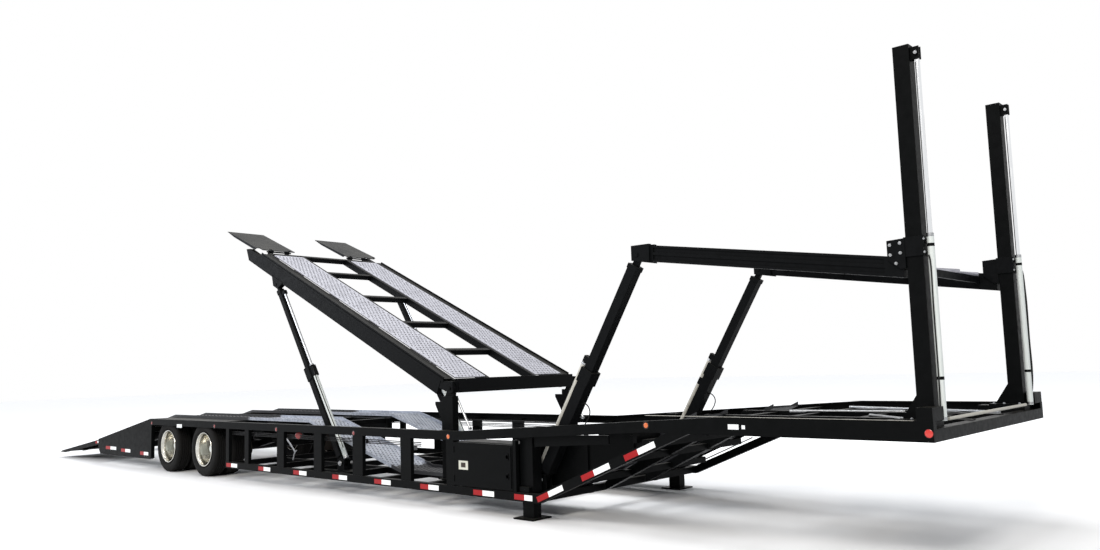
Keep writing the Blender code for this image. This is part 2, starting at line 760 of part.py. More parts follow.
def front_deck():
    """Two ribbed rails, crossbars and the end blocks that take the arms."""
    solids = []
    cuts = []
    later = []
    for side in (-1, 1):
        front, rear = D_DECK_RAIL_FRONT, D_DECK_RAIL_REAR
        outline = (
            (front, rail_height(front) - DECK_RAIL_DEPTH),
            (rear, rail_height(rear) - DECK_RAIL_DEPTH),
            (rear, rail_height(rear)),
            (front, rail_height(front)),
        )
        solids.append(side_prism(side, outline, DECK_RAIL_INNER_Y, DECK_RAIL_OUTER_Y))
        for top, bottom in ((0.020, 0.058), (0.084, 0.122)):
            groove = (
                (0.330, rail_height(0.330) - bottom),
                (2.300, rail_height(2.300) - bottom),
                (2.300, rail_height(2.300) - top),
                (0.330, rail_height(0.330) - top),
            )
            cuts.append(side_prism(side, groove, DECK_RAIL_OUTER_Y - 0.010, DECK_RAIL_OUTER_Y + 0.01))
        d, z = FRONT_ARM_TOP
        tongue = FRONT_ARM_TONGUE / 2 + FIT_GAP
        for inner, outer in ((0.984, FRONT_ARM_Y - tongue), (FRONT_ARM_Y + tongue, 1.098)):
            outline = (
                (2.330, rail_height(2.330) - DECK_RAIL_DEPTH - 0.010),
                (d + 0.055, z - 0.045),
                (d + 0.055, z + 0.085),
                (2.330, rail_height(2.330) + 0.012),
            )
            later.append(side_prism(side, outline, inner, outer))
        for inner, outer in ((0.976, 0.990), (1.090, 1.106)):
            later.append(cross_pin(d, z, side * inner, side * outer, DECK_PIN_R))
    for distance in FRONT_CROSSBARS:
        front, rear = distance - 0.025, distance + 0.025
        outline = (
            (front, rail_height(front) - 0.090),
            (rear, rail_height(rear) - 0.090),
            (rear, rail_height(rear) - 0.030),
            (front, rail_height(front) - 0.030),
        )
        later.append(prism(outline, -1.004, 1.004))
    base = solids.pop(0)
    for side in (-1, 1):
        later.append(side_block(side, 2.384, 2.4006, 0.990, 1.094, 2.270, 2.395))
    return node("front_deck_frame", "deck_black", [base] + solids, cuts, later, origin=at(0.240, 2.07))


def front_tread(name, side):
    inner, outer = FRONT_TREAD_Y
    start, end = 0.300, 2.380
    gap = 0.030 - FIT_GAP
    outline = (
        (start, rail_height(start) - gap),
        (end, rail_height(end) - gap),
        (end, rail_height(end) - 0.018),
        (start, rail_height(start) - 0.018),
    )
    lips = []
    for y in (inner, outer - 0.008):
        raised = (
            (start, rail_height(start) - gap),
            (end, rail_height(end) - gap),
            (end, rail_height(end)),
            (start, rail_height(start)),
        )
        lips.append(side_prism(side, raised, y, y + 0.008))
    sheet = side_prism(side, outline, inner, outer)
    return node(name, "tread_plate", [sheet] + lips, origin=at(1.3, 2.2, side * 0.62))


def along(base, top, distance, offset=0.0, y=0.0):
    """A point on the line of an arm; offset moves it square to the arm, rearward."""
    d = top[0] - base[0]
    z = top[1] - base[1]
    length = math.hypot(d, z)
    ud, uz = d / length, z / length
    return at(base[0] + ud * distance + uz * offset, base[1] + uz * distance - ud * offset, y)


def arm_length(base, top):
    return math.hypot(top[0] - base[0], top[1] - base[1])


def front_arm_lower(name, side):
    """Outer tube, end sleeve, base eye and the barrel of the cylinder behind it."""
    y = side * FRONT_ARM_Y
    base, top = FRONT_ARM_BASE, FRONT_ARM_TOP

    def p(distance, offset=0.0, sideways=0.0):
        return along(base, top, distance, offset, y + sideways)

    tube = bar(p(0.090), p(FRONT_ARM_SLEEVE - 0.004), FRONT_ARM_OUTER, FRONT_ARM_OUTER)
    sleeve = bar(p(FRONT_ARM_SLEEVE - 0.14), p(FRONT_ARM_SLEEVE), FRONT_ARM_OUTER + 0.018, 0.134)
    bore = bar(p(0.150), p(FRONT_ARM_SLEEVE + 0.05), FRONT_ARM_BORE, FRONT_ARM_BORE)
    later = [
        bar(p(-0.030), p(0.110), 0.050, 0.070),
        rod(p(0.080, 0.086), p(FRONT_ARM_SLEEVE + 0.020, 0.086), FRONT_ARM_CYL_R, 18),
        bar(p(FRONT_ARM_SLEEVE - 0.28, 0.078), p(FRONT_ARM_SLEEVE - 0.20, 0.078), 0.062, 0.052),
        bar(p(0.072, 0.047), p(0.130, 0.047), 0.044, 0.108),
    ]
    pin = [cross_pin(base[0], base[1], y - 0.08, y + 0.08, bore_for(DECK_PIN_R))]
    obj = keep(tube, name)
    joined(obj, "UNION", [sleeve])
    joined(obj, "DIFFERENCE", [bore])
    joined(obj, "UNION", later)
    cylinder_bore = rod(p(0.200, 0.086), p(FRONT_ARM_SLEEVE + 0.05, 0.086), 0.0180, 18)
    joined(obj, "DIFFERENCE", pin + [cylinder_bore])
    return finish(obj, "deck_black", at(base[0], base[1], y))


def finish(obj, material, origin):
    tidy(obj)
    obj.data.transform(Matrix.Translation(-Vector(origin)))
    obj.location = origin
    obj.data.materials.clear()
    obj.data.materials.append(PAINTS[material])
    return obj


def front_arm_upper(name, side):
    """Inner tube with its head, and the lug that carries the cylinder rod."""
    y = side * FRONT_ARM_Y
    base, top = FRONT_ARM_BASE, FRONT_ARM_TOP
    length = arm_length(base, top)

    def p(distance, offset=0.0):
        return along(base, top, distance, offset, y)

    solids = [
        bar(p(0.170), p(length - 0.110), FRONT_ARM_INNER, FRONT_ARM_INNER),
        bar(p(length - 0.140), p(length - 0.096), 0.100, 0.104),
        bar(p(length - 0.120), p(length), FRONT_ARM_TONGUE, 0.056),
        cross_pin(top[0], top[1], y - FRONT_ARM_TONGUE / 2, y + FRONT_ARM_TONGUE / 2, 0.028, 16),
        bar(p(FRONT_ARM_SLEEVE + 0.030, 0.064), p(FRONT_ARM_SLEEVE + 0.090, 0.064), 0.050, 0.098),
        rod(p(0.230, 0.086), p(FRONT_ARM_SLEEVE + 0.060, 0.086), 0.0160, 16),
    ]
    return node(name, "deck_black", solids, origin=at(base[0], base[1], y))


def rear_arm_lower(name, side):
    """Outer tube of the deck lift arm with its sleeve and the cylinder barrel."""
    y = side * REAR_ARM_Y
    base, top = REAR_ARM_BASE, REAR_ARM_TOP

    def p(distance, offset=0.0):
        return along(base, top, distance, offset, y)

    lift = -0.076
    obj = keep(bar(p(0.090), p(REAR_ARM_SLEEVE - 0.004), REAR_ARM_OUTER, REAR_ARM_OUTER), name)
    joined(obj, "UNION", [bar(p(REAR_ARM_SLEEVE - 0.190), p(REAR_ARM_SLEEVE), 0.096, 0.098)])
    joined(obj, "DIFFERENCE", [bar(p(0.130), p(REAR_ARM_SLEEVE + 0.05), REAR_ARM_BORE, REAR_ARM_BORE)])
    later = [
        bar(p(-0.030), p(0.110), 0.050, 0.060),
        rod(p(0.080, lift), p(REAR_ARM_SLEEVE - 0.010, lift), 0.0260, 18),
        bar(p(0.084, lift / 2), p(0.126, lift / 2), 0.044, 0.098),
        bar(p(REAR_ARM_SLEEVE - 0.180, lift), p(REAR_ARM_SLEEVE - 0.030, lift), 0.064, 0.062),
    ]
    joined(obj, "UNION", later)
    cuts = [
        cross_pin(base[0], base[1], y - 0.08, y + 0.08, bore_for(DECK_PIN_R)),
        rod(p(0.130, lift), p(REAR_ARM_SLEEVE + 0.05, lift), 0.0175, 18),
    ]
    joined(obj, "DIFFERENCE", cuts)
    return finish(obj, "deck_black", at(base[0], base[1], y))


def rear_arm_upper(name, side):
    """Inner tube and head of the deck lift arm."""
    y = side * REAR_ARM_Y
    base, top = REAR_ARM_BASE, REAR_ARM_TOP
    length = arm_length(base, top)

    def p(distance, offset=0.0):
        return along(base, top, distance, offset, y)

    solids = [
        bar(p(REAR_ARM_OVERLAP_START), p(length - 0.100), REAR_ARM_INNER, REAR_ARM_INNER),
        bar(p(length - 0.160), p(length - 0.094), 0.072, 0.074),
        bar(p(length - 0.110), p(length), REAR_ARM_TONGUE, 0.054),
        cross_pin(top[0], top[1], y - REAR_ARM_TONGUE / 2, y + REAR_ARM_TONGUE / 2, 0.027, 16),
        bar(p(length - 0.220, -0.044), p(length - 0.165, -0.044), 0.046, 0.108),
        rod(p(REAR_ARM_OVERLAP_START + 0.02, -0.076), p(length - 0.185, -0.076), 0.0160, 16),
    ]
    return node(name, "deck_black", solids, origin=at(base[0], base[1], y))


def deck_outline(pairs):
    return tuple(deck_point(u, w) for u, w in pairs)


def flip_lug_outline():
    """Gooseneck lug: the folded flap's front edge swings between boss and deck."""
    u, w, boss = FLIP_PIN_U, FLIP_PIN_W, FLIP_BOSS_R
    arc = []
    for degrees in range(200, -30, -25):  # over the pin, from its front to its rear
        angle = math.radians(degrees)
        arc.append((u + boss * math.cos(angle), w + boss * math.sin(angle)))
    front = ((4.250, 0.000), (4.250, 0.055), (4.300, 0.055), (4.340, w - 0.020))
    neck = ((u - 0.025, w - 0.050), (u - 0.012, w - 0.044), (u - 0.009, w - 0.022))
    rear = ((u + boss, w - 0.054), (u + 0.010, w - 0.068), (4.300, w - 0.066))
    return front + neck + tuple(arc) + rear


def rear_deck():
    """Side beams, inner beams, crossbars, guide strips and hinge plates."""
    solids = []
    cuts = []
    surface = DECK_SURFACE_W
    outer = (
        (0.160, DECK_BEAM_BOTTOM_W),
        (4.556, DECK_BEAM_BOTTOM_W),
        (DECK_BEAM_REAR_U, -0.018),
        (4.600, DECK_BEAM_TOP_W),
        (0.160, DECK_BEAM_TOP_W),
    )
    for side in (-1, 1):
        solids.append(side_prism(side, deck_outline(outer), *DECK_BEAM_Y))
        inner = ((0.060, -0.020), (4.290, -0.020), (4.290, 0.066), (0.060, 0.066))
        solids.append(side_prism(side, deck_outline(inner), 0.352, 0.392))
        outboard = ((0.060, -0.020), (4.290, -0.020), (4.290, 0.058), (0.060, 0.058))
        solids.append(side_prism(side, deck_outline(outboard), 0.856, 0.890))
        strip = ((0.120, -0.004), (4.270, -0.004), (4.270, 0.014), (0.120, 0.014))
        solids.append(side_prism(side, deck_outline(strip), 0.880, 0.950))
        for start in (0.55, 1.45, 2.35, 3.25):
            slot = ((start, -0.03), (start + 0.72, -0.03), (start + 0.72, 0.05), (start, 0.05))
            cuts.append(side_prism(side, deck_outline(slot), 0.905, 0.930))
        web = ((0.30, -0.122), (4.45, -0.122), (4.45, 0.001), (0.30, 0.001))
        cuts.append(side_prism(side, deck_outline(web), 0.930, 0.990))
    for u in DECK_CROSSBARS:
        outline = ((u - 0.03, -0.004), (u + 0.03, -0.004), (u + 0.03, 0.0607), (u - 0.03, 0.0607))
        solids.append(prism(deck_outline(outline), -0.870, 0.870))
    front = ((4.996, 1.144), (5.062, 1.144), (5.090, 1.250), (5.062, 1.292), (5.006, 1.292))
    solids.append(prism(front, -0.912, 0.912))
    later = []
    for side in (-1, 1):
        for inner, outer_y in ((0.9153, 0.9340), (0.9765, 0.9950)):
            plate = (
                (5.010, 1.150),
                (5.060, 1.135),
                (5.115, 1.160),
                (5.420, 1.262),
                (5.420, 1.360),
                (5.180, 1.272),
                (5.010, 1.262),
            )
            later.append(side_prism(side, plate, inner, outer_y))
        later.append(side_block(side, 5.150, 5.190, 0.900, 0.994, 1.210, 1.268))
        later.append(side_block(side, 5.012, 5.050, 0.900, 0.9335, 1.160, 1.255))
        d, z = REAR_ARM_TOP
        u_mid = 3.733
        tongue = REAR_ARM_TONGUE / 2 + FIT_GAP
        for inner, outer_y in ((0.934, REAR_ARM_Y - tongue), (REAR_ARM_Y + tongue, 1.006)):
            bracket = (
                (u_mid - 0.150, DECK_BEAM_BOTTOM_W + 0.020),
                (u_mid - 0.055, -0.235),
                (u_mid + 0.055, -0.235),
                (u_mid + 0.150, DECK_BEAM_BOTTOM_W + 0.020),
            )
            later.append(side_prism(side, deck_outline(bracket), inner, outer_y))
        for inner, outer_y in ((0.926, 0.940), (1.000, 1.014)):
            later.append(cross_pin(d, z, side * inner, side * outer_y, DECK_PIN_R))
        for y0, y1 in ((0.500, 0.530), (0.780, 0.810)):
            later.append(side_prism(side, deck_outline(flip_lug_outline()), y0, y1))
        pin_at = deck_point(FLIP_PIN_U, FLIP_PIN_W)
        later.append(cross_pin(pin_at[0], pin_at[1], side * 0.470, side * 0.840, FLIP_PIN_R))
    obj = keep(solids[0], "rear_deck_frame")
    joined(obj, "UNION", solids[1:])
    joined(obj, "DIFFERENCE", cuts)
    joined(obj, "UNION", later)
    holes = []
    for side in (-1, 1):
        d, z = DECK_HINGE
        holes.append(cross_pin(d, z, side * 0.90, side * 1.01, bore_for(DECK_PIN_R)))
    joined(obj, "DIFFERENCE", holes)
    return finish(obj, "deck_black", at(DECK_HINGE[0], DECK_HINGE[1], 0.0))


def deck_tread(name, side):
    u0, u1 = DECK_TREAD_U
    outline = ((u0, 0.061), (u1, 0.061), (u1, DECK_SURFACE_W), (u0, DECK_SURFACE_W))
    sheet = side_prism(side, deck_outline(outline), *DECK_TREAD_Y)
    d, z = deck_point((u0 + u1) / 2, 0.061)
    return node(name, "tread_plate", [sheet], origin=at(d, z, side * 0.625))


def flip_ramp(name, side):
    """Short flap behind the deck: plate, two edge ribs and hinge knuckles."""
    fall = (FLIP_TIP_W - 0.087) / (FLIP_TIP_U - 4.371)

    def w_at(u):
        return 0.087 + fall * (u - 4.371)

    plate = (
        (4.371, w_at(4.371) - 0.010),
        (FLIP_TIP_U, w_at(FLIP_TIP_U) - 0.008),
        (FLIP_TIP_U, w_at(FLIP_TIP_U)),
        (4.371, w_at(4.371)),
    )
    behind_pin = FLIP_PIN_U + 0.006
    notched = (
        (behind_pin, w_at(behind_pin) - 0.010),
        plate[1],
        plate[2],
        (behind_pin, w_at(behind_pin)),
    )
    over_beam = FLIP_PIN_U + 0.040
    tail = (
        (over_beam, w_at(over_beam) - 0.010),
        plate[1],
        plate[2],
        (over_beam, w_at(over_beam)),
    )
    solids = [
        side_prism(side, deck_outline(plate), FLIP_Y[0], 0.4940),
        side_prism(side, deck_outline(notched), 0.4940, 0.5360),
        side_prism(side, deck_outline(plate), 0.5360, 0.7740),
        side_prism(side, deck_outline(notched), 0.7740, 0.8160),
        side_prism(side, deck_outline(plate), 0.8160, 0.9340),
        side_prism(side, deck_outline(tail), 0.9340, FLIP_Y[1]),
    ]
    for y0 in (FLIP_Y[0], FLIP_Y[1] - 0.012):
        rib = (
            (4.480, w_at(4.480) - 0.036),
            (5.100, w_at(5.100) - 0.026),
            (FLIP_TIP_U - 0.01, w_at(FLIP_TIP_U) - 0.006),
            (4.440, w_at(4.440) - 0.006),
        )
        solids.append(side_prism(side, deck_outline(rib), y0, y0 + 0.012))
    pin_u, pin_w = FLIP_PIN_U, FLIP_PIN_W
    for y0, y1 in ((0.536, 0.560), (0.750, 0.774)):
        lug = (
            (pin_u - 0.020, w_at(pin_u) - 0.004),
            (pin_u - 0.024, pin_w - 0.012),
            (pin_u, pin_w - 0.024),
            (pin_u + 0.024, pin_w - 0.012),
            (pin_u + 0.040, w_at(pin_u) - 0.004),
        )
        solids.append(side_prism(side, deck_outline(lug), y0, y1))
    pin_at = deck_point(pin_u, pin_w)
    bore = [cross_pin(pin_at[0], pin_at[1], side * 0.46, side * 0.85, bore_for(FLIP_PIN_R))]
    return node(name, "deck_black", solids, bore, origin=at(pin_at[0], pin_at[1], side * 0.72))


def stub_post(name, side):
    """Post that carries the front hinge of the rear deck."""
    d0, d1 = STUB_POST_D
    y0, y1 = STUB_POST_Y
    solids = [side_block(side, d0 + 0.004, d1, y0, y1, 0.2403, 1.110)]
    hollow = side_block(side, d0 + 0.014, d1 - 0.010, y0 + 0.010, y1 - 0.010, 0.2, 1.095)
    hinge_d, hinge_z = DECK_HINGE
    lug = (
        (d0 + 0.010, 1.100),
        (d1 - 0.030, 1.100),
        (hinge_d + 0.055, 1.190),
        (hinge_d + 0.030, 1.232),
        (hinge_d - 0.030, 1.232),
        (hinge_d - 0.046, 1.190),
    )
    seat = DECK_HINGE[1] + DECK_BEAM_BOTTOM_W - LEVEL_CLEAR
    gusset = ((5.180, 0.760), (5.180, seat), (5.330, seat), (5.330, 1.020))
    later = [
        side_prism(side, lug, 0.9375, 0.9730),
        side_prism(side, gusset, 0.945, 0.965),
        cross_pin(hinge_d, hinge_z, side * 0.908, side * 1.004, DECK_PIN_R),
        side_block(side, d0 - 0.05, d1 + 0.05, 0.898, 1.014, 0.2403, 0.2520),
    ]
    for z in (0.700,):
        later.append(
            side_block(side, d0 + 0.03, d1 - 0.03, y1 - 0.005, FRAME_INNER - FIT_GAP, z, z + 0.06)
        )
    centre = at(5.1, 0.2403, side * 0.955)
    return node(name, "frame_black", solids, (), later, [hollow], origin=centre)


def landing_leg_outer(name, side):
    d0, d1 = LEG_D
    y0, y1 = LEG_Y
    solids = [side_block(side, d0, d1, y0, y1, 0.2485, LEG_TOP)]
    wall = LEG_WALL
    cuts = [side_block(side, d0 + wall, d1 - wall, y0 + wall, y1 - wall, 0.2, LEG_TOP - 0.012)]
    low = LOWER_TOP + FIT_GAP
    later = [
        side_block(side, d0 + 0.02, d1 - 0.02, y1 - 0.004, FRAME_INNER - FIT_GAP, 0.740, LEG_TOP),
        side_block(side, d0 + 0.02, d1 - 0.02, y1 - 0.004, FRAME_INNER + 0.03, low, low + 0.05),
    ]
    middle = at(LEG_MIDDLE[0], 0.25, side * LEG_MIDDLE[1])
    return node(name, "frame_black", solids, cuts, later, origin=middle)


def landing_leg_inner(name, side):
    inset = LEG_WALL + SLIDE_GAP
    d0, d1 = LEG_D[0] + inset, LEG_D[1] - inset
    y0, y1 = LEG_Y[0] + inset, LEG_Y[1] - inset
    solids = [
        side_block(side, d0, d1, y0, y1, 0.010, 0.520),
        side_block(
            side,
            LEG_D[0] - FOOT_MARGIN_D,
            LEG_D[1] + FOOT_MARGIN_D,
            LEG_Y[0] - FOOT_MARGIN_Y[0],
            LEG_Y[1] + FOOT_MARGIN_Y[1],
            0.0,
            0.014,
        ),
    ]
    return node(name, "frame_black", solids, origin=at(LEG_MIDDLE[0], 0.0, side * LEG_MIDDLE[1]))


def toolbox(name, side):
    """Open-fronted steel box between the rails, with the recess wall ahead of it."""
    d0, d1 = TOOLBOX_D
    y0, y1 = TOOLBOX_Y
    z0, z1 = TOOLBOX_Z
    solids = [side_block(side, d0, d1, y0, y1, z0, z1)]
    cuts = [side_block(side, d0 + 0.006, d1 - 0.006, y0 + 0.006, y1 + 0.05, z0 + 0.006, z1 - 0.006)]
    later = [side_block(side, d0 + 0.02, d1 - 0.02, 0.960, 1.200, 0.2403, z0 + 0.004)]
    later += recess_wall(side)
    return node(name, "frame_black", solids, cuts, later, origin=at(4.25, 0.26, side * 1.09))


def toolbox_door(name, side):
    low, high = LOWER_TOP + 0.006, 0.672
    front, rear = DOOR_FRONT_D, DOOR_REAR_D
    y0, y1 = DOOR_Y
    grip0, grip1 = DOOR_HANDLE_Y
    solids = [side_block(side, front, rear, y0, y1, low, high)]
    hollow = (y0 - 0.045, y1 - 0.005, low + 0.012, high - 0.012)
    cuts = [side_block(side, front + 0.013, rear - 0.013, *hollow)]
    later = [side_block(side, front + 0.015, front + 0.033, grip0, grip1, low + 0.02, high - 0.02)]
    for z in (0.380, 0.560):
        later.append(side_block(side, front + 0.049, front + 0.079, grip0, grip1, z - 0.02, z + 0.02))
    hinge_d, hinge_y = rear - 0.008, side * DOOR_HINGE_Y
    for z in (0.320, 0.600):
        later.append(rod(at(hinge_d, z - 0.03, hinge_y), at(hinge_d, z + 0.03, hinge_y), 0.0065, 10))
    return node(name, "frame_black", solids, cuts, later, origin=at(hinge_d, 0.45, hinge_y))


def axle(name, distance):
    """Axle tube, brake backing plates and trailing beams up to the hangers."""
    centre_z = TYRE_RADIUS
    solids = [
        rod(
            at(distance, centre_z, -AXLE_END_Y),
            at(distance, centre_z, AXLE_END_Y),
            AXLE_TUBE_RADIUS,
            16,
        )
    ]
    for side in (-1, 1):
        solids.append(
            rod(
                at(distance, centre_z, side * (AXLE_END_Y - 0.012)),
                at(distance, centre_z, side * AXLE_END_Y),
                0.185,
                18,
            )
        )
        beam = (
            (distance - 0.42, 0.420),
            (distance + 0.02, 0.330),
            (distance + 0.30, 0.400),
            (distance + 0.30, 0.450),
            (distance, 0.440),
            (distance - 0.10, 0.440),
            (distance - 0.42, 0.500),
            (distance - 0.455, 0.460),
        )
        solids.append(side_prism(side, beam, 0.3753, 0.450))
        bag = (
            (0.0, 0.0),
            (0.105, 0.0),
            (0.130, 0.074),
            (0.105, SPRING_TOP - SPRING_SEAT),
            (0.0, SPRING_TOP - SPRING_SEAT),
        )
        spring = revolve(bag, Vector((0, 0, 0)), 10)
        upright = Matrix.Rotation(math.radians(90), 4, "X")
        spot = at(distance + 0.20, SPRING_SEAT, side * 0.500)
        bmesh.ops.transform(spring, matrix=Matrix.Translation(spot) @ upright, verts=spring.verts)
        bmesh.ops.recalc_face_normals(spring, faces=spring.faces)
        solids.append(spring)
        seat = side_block(side, distance + 0.10, distance + 0.29, 0.385, 0.590, 0.425, 0.450)
        solids.append(seat)
        pivot = cross_pin(distance - 0.42, 0.460, side * 0.3623, side * 0.400, 0.022, 14)
        solids.append(pivot)
    return node(name, "frame_black", solids, origin=at(distance, centre_z))


def tyre(name, distance, centre_y):
    half = TYRE_WIDTH / 2
    profile = (
        (RIM_RADIUS - 0.006, -half * 0.62),
        (RIM_RADIUS + 0.022, -half * 0.90),
        (RIM_RADIUS + 0.070, -half),
        (TYRE_RADIUS - 0.020, -half * 0.93),
        (TYRE_RADIUS, -half * 0.74),
        (TYRE_RADIUS, half * 0.74),
        (TYRE_RADIUS - 0.020, half * 0.93),
        (RIM_RADIUS + 0.070, half),
        (RIM_RADIUS + 0.022, half * 0.90),
        (RIM_RADIUS - 0.006, half * 0.62),
    )
    centre = at(distance, TYRE_RADIUS, centre_y)
    return node(name, "tyre_rubber", [revolve(profile, centre, WHEEL_SEGMENTS)], origin=centre)


def wheel(name, side, distance):
    """Both rims of a dual wheel with their discs, hub, hub cap and brake drum."""
    o = OUTER_TYRE_Y - HUB_PLANE_Y
    lip = RIM_RADIUS
    seat = 0.2285
    profile = [
        (lip, o + 0.098),
        (lip - 0.014, o + 0.096),
        (0.206, o + 0.060),
        (0.196, 0.020),
        (0.080, 0.018),
        (0.080, -0.018),
        (0.196, -0.020),
        (0.206, -o - 0.060),
        (lip - 0.014, -o - 0.096),
        (lip, -o - 0.098),
        (seat, -o - 0.0660),
        (seat, o + 0.0660),
    ]
    centre = at(distance, TYRE_RADIUS, side * HUB_PLANE_Y)
    mirrored = [(radius, side * offset) for radius, offset in profile]
    solids = [revolve(mirrored, centre, WHEEL_SEGMENTS)]
    hub = [
        (0.0, 0.100),
        (0.064, 0.098),
        (0.075, 0.034),
        (0.098, 0.030),
        (0.098, -0.060),
        (0.180, -0.110),
        (0.186, -DRUM_REACH),
        (0.0, -DRUM_REACH),
    ]
    later = [revolve([(radius, side * offset) for radius, offset in hub], centre, 16)]
    cuts = []
    for i in range(HAND_HOLES):
        angle = 2 * math.pi * i / HAND_HOLES
        spot = centre + Vector((0.158 * math.cos(angle), 0, 0.158 * math.sin(angle)))
        reach = Vector((0, 0.045, 0))
        cuts.append(rod(spot - reach, spot + reach, 0.024, 8))
    return node(name, "wheel_aluminium", solids, cuts, later, origin=centre)


def tail_ramp(name, side):
    """Wide wedge-shaped ramp hinged behind the beavertail."""
    inner, outer = RAMP_INNER_Y, RAMP_OUTER_Y
    tip = OVERALL_LENGTH
    skin = (
        (D_RAMP_PIN + 0.014, 0.376),
        (tip, RAMP_TIP_Z),
        (tip - 0.020, RAMP_TIP_Z - 0.012),
        (D_RAMP_PIN + 0.040, 0.358),
    )
    solids = [side_prism(side, skin, inner, outer)]
    edge = (
        (D_RAMP_PIN - 0.022, RAMP_PIN_Z + 0.004),
        (D_RAMP_PIN - 0.010, RAMP_PIN_Z + 0.030),
        (D_RAMP_PIN + 0.020, 0.386),
        (tip - 0.060, RAMP_TIP_Z + 0.018),
        (tip - 0.030, RAMP_TIP_Z - 0.004),
        (tip - 0.200, RAMP_TIP_Z - 0.010),
        (D_RAMP_PIN + 0.120, RAMP_PIN_Z - 0.060),
        (D_RAMP_PIN - 0.006, RAMP_PIN_Z - 0.028),
    )
    for y0 in (inner, (inner + outer) / 2 + 0.09, outer - 0.030):
        solids.append(side_prism(side, edge, y0, y0 + 0.030))
    for step in range(1, 6):
        d = D_RAMP_PIN + 0.28 * step
        top = 0.370 + (RAMP_TIP_Z - 0.376) * (d - D_RAMP_PIN) / (tip - D_RAMP_PIN)
        solids.append(side_block(side, d - 0.015, d + 0.015, inner + 0.004, outer - 0.004, top - 0.030, top))
    bore = [cross_pin(D_RAMP_PIN, RAMP_PIN_Z, side * 0.30, side * 1.23, bore_for(RAMP_PIN_RADIUS))]
    centre = at(D_RAMP_PIN, RAMP_PIN_Z, side * (inner + outer) / 2)
    return node(name, "frame_black", solids, bore, origin=centre)


clear_scene()
PAINTS = make_materials()

for side_name, side_sign in SIDES:
    side_frame("side_frame_" + side_name, side_sign)
    track("lower_track_" + side_name, side_sign)
    mast("mast_" + side_name, side_sign)
    mast_rod("mast_rod_" + side_name, side_sign)
    mast_barrel("mast_barrel_" + side_name, side_sign)
    carriage("carriage_" + side_name, side_sign)
    front_tread("front_tread_" + side_name, side_sign)
    front_arm_lower("front_arm_lower_" + side_name, side_sign)
    front_arm_upper("front_arm_upper_" + side_name, side_sign)
    rear_arm_lower("rear_arm_lower_" + side_name, side_sign)
    rear_arm_upper("rear_arm_upper_" + side_name, side_sign)
    deck_tread("deck_tread_" + side_name, side_sign)
    flip_ramp("flip_ramp_" + side_name, side_sign)
    stub_post("stub_post_" + side_name, side_sign)
    landing_leg_outer("leg_outer_" + side_name, side_sign)
    landing_leg_inner("leg_inner_" + side_name, side_sign)
    toolbox("toolbox_" + side_name, side_sign)
    toolbox_door("toolbox_door_" + side_name, side_sign)
    tail_ramp("tail_ramp_" + side_name, side_sign)
    for axle_name, axle_distance in AXLE_TABLE:
        tag = axle_name + "_" + side_name
        wheel("wheel_" + tag, side_sign, axle_distance)
        tyre("tyre_outer_" + tag, axle_distance, side_sign * OUTER_TYRE_Y)
        tyre("tyre_inner_" + tag, axle_distance, side_sign * INNER_TYRE_Y)

belly_frame()
rear_frame()
tail_frame()
neck_frame()
front_deck()
rear_deck()
for axle_name, axle_distance in AXLE_TABLE:
    axle("axle_" + axle_name, axle_distance)

print("nodes", len(bpy.data.objects))
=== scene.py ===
# %% [markdown]
# # A car transporter semi-trailer
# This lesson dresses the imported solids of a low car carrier. The solids already
# have their size and their joints. Here each surface gets its finish, and the
# pieces that are too small for the solids are added: tyre treads, traction
# buttons, lamps, reflective strips, bolts, pipes and hoses.
#
# The trailer runs along X with its coupling end at +X. Y is across, Z is up and
# the ground is Z = 0, all in metres.

# %% Load the frame
import math

import bmesh
import bpy
from mathutils import Matrix, Vector


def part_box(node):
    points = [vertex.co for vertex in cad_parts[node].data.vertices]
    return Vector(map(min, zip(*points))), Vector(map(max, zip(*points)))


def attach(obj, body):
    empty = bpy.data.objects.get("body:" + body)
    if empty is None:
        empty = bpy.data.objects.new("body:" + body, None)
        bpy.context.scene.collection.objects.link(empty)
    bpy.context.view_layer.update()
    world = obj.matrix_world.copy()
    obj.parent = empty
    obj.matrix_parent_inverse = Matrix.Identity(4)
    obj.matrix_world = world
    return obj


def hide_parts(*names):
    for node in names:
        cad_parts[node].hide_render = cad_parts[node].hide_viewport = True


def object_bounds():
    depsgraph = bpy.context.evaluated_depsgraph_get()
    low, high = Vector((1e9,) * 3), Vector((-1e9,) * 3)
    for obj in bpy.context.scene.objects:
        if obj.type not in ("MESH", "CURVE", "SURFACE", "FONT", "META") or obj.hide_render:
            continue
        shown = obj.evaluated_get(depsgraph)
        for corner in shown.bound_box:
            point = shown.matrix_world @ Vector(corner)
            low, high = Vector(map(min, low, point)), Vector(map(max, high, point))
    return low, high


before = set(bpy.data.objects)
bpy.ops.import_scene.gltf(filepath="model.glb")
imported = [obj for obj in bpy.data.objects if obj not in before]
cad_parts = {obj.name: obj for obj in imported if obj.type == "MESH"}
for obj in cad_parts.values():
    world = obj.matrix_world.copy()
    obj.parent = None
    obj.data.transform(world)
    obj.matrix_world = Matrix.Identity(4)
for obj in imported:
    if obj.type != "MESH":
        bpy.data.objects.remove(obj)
cad_low, cad_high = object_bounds()
print("solids span", [round(high - low, 3) for low, high in zip(cad_low, cad_high)])

# %% [markdown]
# Places along the trailer are easier to name as a distance behind the front
# edge of the neck, as a fitter would measure them with a tape. One function
# turns such a distance, a height and a sideways place into a point. The two
# axles are the first places, because both tyres and wheels need them.

# %% Places on the trailer
FRONT_X = cad_high.x
SIDE_FACE = cad_high.y
MM = 0.001
SIDES = (("right", -1), ("left", 1))
AXLES = (("rear", 11.142), ("front", 10.024))  # name, distance
TYRE_RADIUS = 0.372


def at(distance, height, y=0.0):
    return Vector((FRONT_X - distance, y, height))


print("side faces at y = +-", round(SIDE_FACE, 4))

